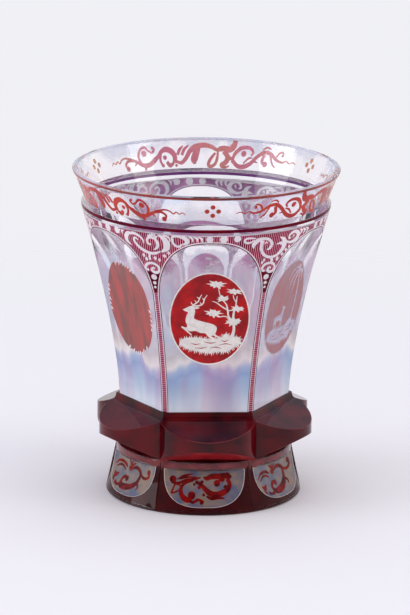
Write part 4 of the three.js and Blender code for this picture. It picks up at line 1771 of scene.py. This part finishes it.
@dataclass
class Collar:
    """The thick ruby collar: six round lobes, bevelled above and below, with upright notches."""

    form: Form
    centre_radius: float = 24.6
    lobe_radius: float = 20.2
    seat_margin: float = 0.5
    cove_height: float = 2.6
    cove_reach: float = 1.4
    top_drop: float = 5.3
    under_rise: float = 7.45
    foot_apothem: float = 30.2
    arris: float = 0.16
    brim_share: float = 0.995
    columns: int = 20
    cove_rows: int = 8
    bevel_rows: int = 7
    PAINTED_LIT = 1
    ARRIS = 2

    def mesh(self) -> Body:
        """The closed body. By the axis each row is a hexagon, further out the rows turn to the
        lobes' outline, and a corner's height depends on its apothem alone.

        Returns:
            The body, with PAINTED_LIT on its lower side and ARRIS on its two cut edges.
        """
        f = self.form
        lean = np.linspace(-SECTOR / 2, SECTOR / 2, self.columns, endpoint=False)
        outline = self.centre_radius * np.cos(lean) + np.sqrt(
            self.lobe_radius**2 - (self.centre_radius * np.sin(lean)) ** 2
        )
        edge = outline * np.cos(lean)
        seat = f.panel_distance(f.collar_top) + self.seat_margin
        bend = np.linspace(0, np.pi / 2, self.cove_rows)
        cove_s = seat + self.cove_reach * (1 - np.cos(bend))
        cove_z = f.collar_top - self.cove_height * np.sin(bend)
        start = seat + self.cove_reach
        tip = self.centre_radius + self.lobe_radius

        def top(s: Points) -> Points:
            """Height of the upper bevel at an apothem."""
            return f.collar_top - self.cove_height - self.top_drop * (s - start) / (tip - start)

        def under(s: Points) -> Points:
            """Height of the lower bevel at an apothem."""
            rise = (s - self.foot_apothem) / (tip - self.foot_apothem)
            return f.foot_height + self.under_rise * rise

        spread = np.linspace(0, 1, self.bevel_rows)[:, None]
        arris = self.arris
        lower_s = self.foot_apothem + (edge - arris - self.foot_apothem) * spread
        upper_s = edge - arris + (start - edge + arris) * spread[:-1]
        wall_z = np.stack([under(edge - arris) + arris, top(edge - arris) - arris])
        flat = np.ones((1, self.columns))
        # both ends close with rings at half their size and on the axis; the upper one rises into
        # the bowl just inside the seat
        s = np.vstack([
            0 * flat, self.foot_apothem / 2 * flat, lower_s, edge, edge, upper_s,
            cove_s[::-1, None] * flat, self.brim_share * seat * flat, seat / 2 * flat, 0 * flat,
        ])
        z = np.vstack([
            np.repeat(f.foot_height * flat, 2, 0), under(lower_s), wall_z, top(upper_s),
            cove_z[::-1, None] * flat, np.repeat((f.collar_top + JOINT_OVERLAP) * flat, 3, 0),
        ])
        radius = np.tile(s / np.cos(lean), (1, PANELS))
        angle = (FRONT + lean + SECTOR * np.arange(PANELS)[:, None]).ravel()
        rows = np.stack([radius * np.cos(angle), radius * np.sin(angle), np.tile(z, (1, PANELS))], -1)
        body = grid_body(rows)
        row = np.arange(len(body.faces)) // (2 * rows.shape[1])
        brink = len(lower_s) + 1
        # the lower side takes the lighter red of painted light from the table
        body.slots[row < brink] = self.PAINTED_LIT
        body.slots[(row == brink) | (row == brink + 2)] = self.ARRIS
        return body.welded()

    def build(self) -> None:
        """Adds the collar."""
        finishes = (DEEP_RUBY, DEEP_RUBY_PAINTED_LIGHT, DEEP_RUBY_GLINT)
        add_piece("collar_ruby", self.mesh(), finishes, ["collar"], crease=14.0)


@dataclass
class Foot:
    """The spreading foot: clear, stained between six windows that hold stained scrolls.

    A window is milky where it is cut deeper than least_cut, and a pale line lies in it by
    window_margin, of which its flat top keeps the share top_margin.
    """

    form: Form
    standing_ring: float = 6.0
    hollow_depth: float = 2.6
    across: int = 8
    between: int = 14
    hollow_rows: int = 8
    wall_rows: int = 5
    cut_levels: int = 30
    cut_crowding: float = 3.0
    outline_levels: int = 26
    least_cut: float = 0.08
    edge_above_stain: float = 0.2
    drawn_radius: float = 36.0
    stain_pitch: tuple[float, float] = (1.8, 1.8)
    scroll_pitch: tuple[float, float] = (2.4, 1.2)
    window_margin: float = 0.12
    outline_width: float = 0.16
    top_margin: float = 0.6
    boldness: float = 0.08
    WINDOW = 1
    EDGE = 2

    @property
    def turn(self) -> float:
        """How far the windows are out of line with the panels."""
        return np.radians(self.form.window_turn)

    def levels(self, count: int, power: float) -> Points:
        """Heights up a window, the share of the way being a power, so that they crowd below."""
        f = self.form
        return f.window_bottom + (f.window_top - f.window_bottom) * np.linspace(0, 1, count) ** power

    def mesh(self) -> Body:
        """The closed body: a ground hollow, the standing ring, window cuts and a flat top.

        Returns:
            The body, with WINDOW on the windows' faces and EDGE on its lowest edge.
        """
        f = self.form
        bevel = f.foot_edge_bevel
        base = f.foot_base_radius - bevel
        hollow = base - self.standing_ring
        bend = np.linspace(0, np.pi / 2, self.hollow_rows)
        wall = np.linspace(bevel, f.window_bottom, self.wall_rows)[1:]
        # a corner halfway up the bevel and more than halfway out rounds the edge
        low_z = np.r_[self.hollow_depth * np.cos(bend), 0.0, bevel * 0.5, bevel, wall]
        low_r = np.r_[
            hollow * np.sin(bend), base, base + 0.6 * bevel, f.foot_base_radius, f.foot_radius(wall)
        ]
        lower = ring_rows(low_r, low_z, PANELS * self.between)
        z = self.levels(self.cut_levels, self.cut_crowding)
        cut = cut_rows(z, f.foot_radius, f.window_half, f.window_distance, self.across, self.between)
        up = np.linspace(f.window_top, f.foot_height + JOINT_OVERLAP, 3)
        wide, distance = f.window_half(f.window_top), f.window_distance(f.window_top)
        edge = np.arctan2(wide, distance)
        flat = np.arctan2(np.linspace(-wide, wide, self.across, endpoint=False), distance)
        arc = edge + (SECTOR - 2 * edge) * np.linspace(0, 1, self.between, endpoint=False)
        turn = (FRONT + np.r_[flat, arc] + SECTOR * np.arange(PANELS)[:, None]).ravel()
        radius = np.r_[f.foot_radius(up), 0.5 * f.foot_top_radius, 0.0]
        upper = swept_rows(radius, np.r_[up, up[-1], up[-1]], turn)
        body = grid_body(lower).joined(grid_body(np.concatenate([cut, upper]))).welded()
        x, y, z = body.corners[body.faces].mean(1).T
        reach = np.hypot(x, y)
        level = (z > f.window_bottom) & (z < f.window_top)
        body.slots[level & (reach < f.foot_radius(z) - self.least_cut)] = self.WINDOW
        outermost = reach > base - 0.01
        body.slots[(z < f.foot_ruby_above_table + self.edge_above_stain) & outermost] = self.EDGE
        body.corners = turned(body.corners, self.turn)
        return body

    def window_outline(self, margin: float) -> Points:
        """A window's outline on its own face, drawn in towards the middle of its flat top and
        then lowered a little.

        Args:
            margin: how far it is drawn in.

        Returns:
            The outline.
        """
        f = self.form
        z = self.levels(self.outline_levels, WINDOW_CROWDING)
        middle = np.array([0, f.window_top])
        shrunk = 1 - margin / np.array([f.window_half_width, f.window_height])
        return (both_sides(f.window_half(z), z) - middle) * shrunk + middle - (0, margin * self.top_margin)

    def stain_mesh(self) -> Body:
        """The stained layer round the windows, drawn flat as an arc and a height. Above them, in the
        collar's shade, it takes a lighter brown red, a painted reflection.

        Returns:
            The layer's body.
        """
        f = self.form
        half = SECTOR / 2 * self.drawn_radius
        low, high = f.foot_ruby_above_table, f.foot_height
        z = self.levels(self.outline_levels, WINDOW_CROWDING)
        window = both_sides(np.arcsin(f.window_half(z) / f.foot_radius(z)) * self.drawn_radius, z)
        border = np.array([(-half, low), (half, low), (half, high), (-half, high)])
        loose = lattice((-half, low), (half, high), self.stain_pitch)
        points, triangles = triangulate([border, window], NO_LINES, loose)
        c = points[triangles].mean(1)
        cover = np.where(inside(c, window), Cover.NONE, Cover.RUBY)
        # above the windows the stain takes the lighter slot: a painted reflection in the collar's shade
        cover[c[:, 1] > f.window_top] = Cover.THINNED_AND_SHEEN

        def place(points: Points, depth: float) -> Points:
            """Puts drawn points on the round foot."""
            return on_round(points, f.foot_radius(points[:, 1]) + depth, self.turn, self.drawn_radius)

        return layer(points, triangles, cover, place, PANELS)

    def bar_scrolls(self) -> list[Points]:
        """The scrollwork of every second window, across from its middle and up from the table:
        a leaf from a curled ball, a knotted stem, and a leafy bar over a heavy scroll.

        Returns:
            Its outlines.
        """
        return [
            disc((-12.1, 12.9), 1.3, 12),
            stroke([(-12.6, 11.9), (-11.2, 11.4), (-9.6, 11.5), (-7.2, 12.4), (-3.9, 12.9), (-1.4, 13.5)],
                   [0.7, 1.0, 0.9, 1.0, 1.0, 0.3]),
            stroke([(-10.4, 12.8), (-7.8, 14.1), (-4.1, 14.9)], [0.3, 1.0, 0.2]),
            stroke([(-9.4, 12.9), (-6.4, 13.6), (-3.0, 13.7)], [0.3, 0.6, 0.2]),
            stroke([(-4.2, 12.3), (-7.2, 11.5), (-8.7, 10.2), (-9.1, 8.4), (-8.4, 6.6), (-6.7, 5.5),
                    (-4.9, 5.6)], [0.4, 0.9, 1.0, 1.4, 1.8, 1.8, 1.3]),
            disc((-4.9, 7.0), 1.4, 14),
            stroke([(-6.0, 5.2), (-4.2, 4.7), (-2.6, 5.5), (-1.3, 5.4)], [0.8, 0.8, 0.9, 0.6]),
            disc((-1.0, 4.8), 0.8, 10),
            stroke([(-11.3, 11.1), (-12.0, 9.6), (-12.8, 7.8)], [0.6, 0.5, 0.6]),
            stroke([(-12.8, 7.8), (-11.2, 8.2), (-9.4, 8.9)], [0.5, 0.5, 0.4]),
            stroke([(-11.0, 11.0), (-9.6, 10.7), (-9.0, 9.8)], [0.4, 0.4, 0.3]),
            disc((-2.9, 11.7), 0.65, 8),
            disc((-0.9, 11.8), 0.6, 8),
            disc((-2.0, 9.8), 0.6, 8),
            disc((-3.9, 10.9), 0.4, 8),
            stroke([(-3.3, 12.0), (-1.9, 11.2), (-0.2, 9.8), (1.7, 8.1), (4.2, 7.3), (7.4, 8.1), (9.4, 9.7),
                    (9.7, 11.5), (8.8, 13.0)], [0.8, 1.1, 1.5, 1.9, 2.0, 2.0, 1.7, 1.4, 1.2]),
            stroke([(-0.4, 13.6), (1.0, 13.2), (3.0, 13.9), (6.0, 14.0), (8.9, 14.2), (10.2, 13.4)],
                   [0.4, 1.6, 2.0, 2.1, 2.1, 1.3]),
            disc((8.9, 14.7), 0.8, 10),
            stroke([(7.6, 13.0), (7.0, 12.4), (5.6, 12.6)], [0.8, 0.9, 0.7]),
            disc((4.9, 11.4), 1.2, 12),
            stroke([(7.6, 9.9), (8.6, 10.6)], [0.8, 0.8]),
            stroke([(0.9, 6.7), (2.9, 5.9), (5.0, 6.2), (7.8, 6.1)], [0.6, 0.9, 1.0, 0.3]),
            disc((-0.2, 7.2), 0.5, 8),
        ]

    def fan_scrolls(self) -> list[Points]:
        """The scrollwork of the windows in between: a fan of leaves over two opposed scrolls.

        Returns:
            Its outlines.
        """
        return [
            stroke([(-13.2, 11.4), (-11.0, 13.0), (-8.3, 13.3), (-6.0, 12.8), (-4.6, 12.0)],
                   [0.4, 0.9, 1.1, 1.0, 0.7]),
            stroke([(-12.0, 10.6), (-9.4, 11.8), (-7.0, 11.6), (-5.2, 10.6)], [0.3, 0.8, 0.8, 0.4]),
            burst((-2.0, 12.1), 2.1, 1.5, 6, 20),
            stroke([(-2.0, 12.8), (-2.8, 14.2), (-3.8, 15.0)], [0.6, 0.8, 0.3]),
            stroke([(-1.7, 12.9), (-1.5, 14.4), (-1.3, 15.4)], [0.6, 0.8, 0.3]),
            stroke([(-1.3, 12.8), (-0.1, 14.0), (1.0, 14.6)], [0.6, 0.8, 0.3]),
            stroke([(-0.6, 12.2), (1.8, 13.2), (4.4, 12.8), (6.0, 11.4), (5.7, 9.6), (5.0, 7.9),
                    (2.4, 6.1), (-1.4, 5.2), (-4.6, 5.4), (-5.4, 7.0), (-3.9, 8.4), (-2.2, 8.2)],
                   [0.8, 1.3, 1.4, 1.4, 1.5, 1.8, 2.1, 2.0, 1.6, 1.3, 1.2, 0.9]),
            disc((-2.2, 8.0), 1.0, 12),
            stroke([(5.6, 8.0), (7.0, 6.8), (6.6, 5.8)], [0.9, 0.8, 0.4]),
            stroke([(6.0, 11.8), (7.8, 10.9), (9.9, 10.8), (11.9, 11.8), (12.0, 13.2)],
                   [0.7, 0.9, 1.0, 1.0, 0.8]),
            disc((11.4, 13.4), 1.1, 12),
            stroke([(-12.2, 8.6), (-10.6, 7.6), (-9.0, 8.6)], [0.4, 1.8, 0.5]),
            stroke([(-10.9, 7.8), (-11.2, 6.4), (-10.2, 5.6)], [1.2, 1.0, 0.3]),
            stroke([(-5.6, 5.2), (-7.4, 4.9), (-8.8, 5.6)], [0.9, 0.8, 0.4]),
            disc((-8.8, 5.4), 0.6, 10),
        ]

    def window_mesh(self, index: int) -> Body:
        """The layer of one window: its scrolls and a pale line round its edge.

        Args:
            index: the window's number, anticlockwise from the front.

        Returns:
            The layer's body.
        """
        f = self.form

        def place(points: Points, depth: float) -> Points:
            """Puts drawn points on the window's face, and keeps them within its height."""
            z = np.clip(points[:, 1], f.window_bottom + 0.01, f.window_top)
            flat = np.column_stack([points[:, 0], -(f.window_distance(z) + depth), z])
            return turned(flat, self.turn + index * SECTOR)

        marks = self.fan_scrolls() if index % 2 else self.bar_scrolls()
        marks = [grown(mark, self.boldness) for mark in marks]
        outer = self.window_outline(self.window_margin)
        inner = self.window_outline(self.window_margin + self.outline_width)
        loose = lattice(outer.min(0), outer.max(0), self.scroll_pitch)
        points, triangles = triangulate([outer, inner, *marks], NO_LINES, loose)
        c = points[triangles].mean(1)
        cover = np.where(inside_any(c, marks), Cover.RUBY, Cover.NONE)
        cover[inside(c, outer) & ~inside(c, inner)] = Cover.ENGRAVED
        cover[~inside(c, outer)] = Cover.NONE
        return layer(points, triangles, cover, place)

    def build(self) -> None:
        """Adds the foot, its stain and the scrolls in its windows."""
        clear = (CRYSTAL, OPALINE_FOOT, RUBY_FOOT)
        add_piece("foot_crystal", self.mesh(), clear, ["foot"], crease=14.0)
        stained = (RUBY_FOOT, ENGRAVED, CRYSTAL, THICK_BEHIND, DEEP_RUBY_GLINT)
        add_piece("foot_stain", self.stain_mesh(), stained, ["foot_ruby"])
        drawn = (RUBY_SCROLL, ENGRAVED, CRYSTAL, RUBY_SCROLL)
        for index in range(PANELS):
            add_piece(f"foot_scrolls_{index + 1}", self.window_mesh(index), drawn)


@dataclass(frozen=True)
class Softbox:
    """A square softbox that faces the middle of the glass, in metres and watts."""

    name: str
    place: tuple[float, float, float]
    size: float
    power: float
    colour: str
    aim: tuple[float, float, float] = (0.0, 0.0, 0.07)

    def build(self) -> None:
        """Adds the lamp."""
        data = bpy.data.lights.new(self.name, "AREA")
        data.shape = "SQUARE"
        data.size = self.size
        data.energy = self.power
        data.color = linear(self.colour)[:3]
        lamp = bpy.data.objects.new(self.name, data)
        lamp.location = self.place
        lamp.rotation_euler = (Vector(self.aim) - Vector(self.place)).to_track_quat("-Z", "Y").to_euler()
        bpy.context.scene.collection.objects.link(lamp)


@dataclass
class Studio:
    """A pale floor, soft lamps, a pale surround and the camera, whose lengths are in mm and angles
    in degrees. A sky lists heights from 0 to 1 with the surround's colour there."""

    target_height: float = 73.35
    distance: float = 1900.5
    pitch: float = 14.775
    turn: float = 3.0
    roll: float = 0.6
    focal_px: float = 4868.0
    frame_px: float = 615.0
    backdrop: str = "#f0f0f5"
    floor_mm: tuple[float, float] = (60.0, 2600.0)
    floor_rings: int = 24
    floor_columns: int = 96
    fade_m: tuple[float, float] = (0.16, 0.5)
    mirrored_sky: tuple[tuple[float, str], ...] = (
        (0.0, "#efece9"), (0.10, "#f3f0ee"), (0.22, "#e9e9f3"), (0.45, "#dfe0f0"), (0.60, "#c9c8e0"),
        (0.74, "#4a4756"), (1.0, "#2c2a33"),
    )
    through_sky: tuple[tuple[float, str], ...] = (
        (0.0, "#f6f4f8"), (0.12, "#faf7f6"), (0.30, "#fffaf2"), (0.50, "#f4f3fb"), (0.72, "#e2e7fb"),
        (1.0, "#dde2f8"),
    )
    lamps: tuple[Softbox, ...] = (
        Softbox("top_softbox", (0.25, -0.1, 1.3), 1.1, 2.3, "#fffdf8"),
        Softbox("left_softbox", (-1.25, -0.25, 0.5), 0.8, 6.0, "#f8faff"),
        Softbox("right_softbox", (1.05, -0.45, 0.6), 0.5, 2.4, "#fff6ea"),
    )

    def add_camera(self) -> None:
        """The camera, from the focal length in picture heights and a 36 mm sensor."""
        data = bpy.data.cameras.new("camera")
        data.sensor_width = 36.0
        data.lens = self.focal_px / self.frame_px * data.sensor_width
        data.clip_end = 50.0
        pitch, turn = np.radians(self.pitch), np.radians(self.turn)
        back = np.array([-np.cos(pitch) * np.sin(turn), -np.cos(pitch) * np.cos(turn), np.sin(pitch)])
        camera = bpy.data.objects.new("camera", data)
        camera.location = (back * self.distance + (0, 0, self.target_height)) * MM
        aim = Vector(-back).to_track_quat("-Z", "Y")
        camera.rotation_euler = (aim @ Euler((0, 0, np.radians(self.roll))).to_quaternion()).to_euler()
        bpy.context.scene.collection.objects.link(camera)
        bpy.context.scene.camera = camera

    def add_floor(self) -> None:
        """A round floor of matt white board that fades into the surround far from the glass."""
        radius = np.r_[0.0, np.geomspace(*self.floor_mm, self.floor_rings)]
        rows = ring_rows(radius[::-1], np.zeros(len(radius)), self.floor_columns)
        body = grid_body(rows).welded()
        mesh = bpy.data.meshes.new("floor")
        mesh.from_pydata((body.corners * MM).tolist(), [], body.faces.tolist())
        floor = bpy.data.objects.new("floor", mesh)
        bpy.context.scene.collection.objects.link(floor)
        material = bpy.data.materials.new("board_matt_white")
        material.use_nodes = True
        tree = material.node_tree
        tree.nodes.clear()
        coords = add_node(tree, "ShaderNodeTexCoord").outputs["Object"]
        far = add_node(tree, "ShaderNodeVectorMath", {0: coords}, operation="LENGTH").outputs["Value"]
        near_end, far_end = self.fade_m
        fade = add_node(
            tree, "ShaderNodeMapRange", {"Value": far, "From Min": near_end, "From Max": far_end},
            interpolation_type="SMOOTHSTEP",
        )
        matt = add_node(tree, "ShaderNodeBsdfDiffuse", {"Color": linear("#efeef3")})
        clear = add_node(tree, "ShaderNodeBsdfTransparent")
        mix = add_node(
            tree, "ShaderNodeMixShader",
            {"Fac": fade.outputs["Result"], 1: matt.outputs["BSDF"], 2: clear.outputs["BSDF"]},
        )
        add_node(tree, "ShaderNodeOutputMaterial", {"Surface": mix.outputs["Shader"]})
        mesh.materials.append(material)

    def add_world(self) -> None:
        """A surround that is pale to the camera and through glass, and that glass mirrors pale up
        to a height and dim over it."""
        world = bpy.data.worlds.new("studio")
        world.use_nodes = True
        tree = world.node_tree
        tree.nodes.clear()
        path = add_node(tree, "ShaderNodeLightPath").outputs
        way = add_node(tree, "ShaderNodeTexCoord").outputs["Generated"]
        split = add_node(tree, "ShaderNodeSeparateXYZ", {"Vector": way}).outputs
        mirrored_sky, through_sky = (
            add_node(
                tree, "ShaderNodeValToRGB", {"Fac": split["Z"]}, [(at, linear(colour)) for at, colour in sky]
            ).outputs["Color"]
            for sky in (self.mirrored_sky, self.through_sky)
        )
        light = add_node(tree, "ShaderNodeBackground", {"Color": linear("#f4f4fa"), "Strength": 0.85})
        plain = add_node(tree, "ShaderNodeBackground", {"Color": linear(self.backdrop), "Strength": 1.0})
        # the room is dim on the camera's side, so what faces it mirrors little
        dim = add_node(
            tree, "ShaderNodeMapRange",
            {"Value": split["Y"], "From Min": -0.9, "From Max": -0.1, "To Min": 0.3, "To Max": 1.0},
        ).outputs["Result"]
        glossy = add_node(tree, "ShaderNodeBackground", {"Color": mirrored_sky, "Strength": dim})
        through = add_node(tree, "ShaderNodeBackground", {"Color": through_sky, "Strength": 1.0})
        shader = light.outputs["Background"]
        for ray, sky in (
            ("Is Glossy Ray", glossy), ("Is Transmission Ray", through), ("Is Camera Ray", plain)
        ):
            links = {"Fac": path[ray], 1: shader, 2: sky.outputs["Background"]}
            shader = add_node(tree, "ShaderNodeMixShader", links).outputs["Shader"]
        add_node(tree, "ShaderNodeOutputWorld", {"Surface": shader})
        bpy.context.scene.world = world

    def build(self) -> None:
        """Adds the camera, the floor, the surround and the lamps."""
        bpy.context.scene.view_settings.view_transform = "Standard"
        self.add_camera()
        self.add_floor()
        self.add_world()
        for lamp in self.lamps:
            lamp.build()


def main() -> None:
    """Builds the glass and the studio."""
    logging.basicConfig(level=logging.INFO, format="%(name)s %(message)s")
    form = Form()
    for part in (Foot(form), Collar(form), Bowl(form), Arcade(form), Medallions(form), NeckScrolls(form)):
        part.build()
        log.info("%s done", type(part).__name__)
    Studio().build()


if __name__ == "__main__":
    main()
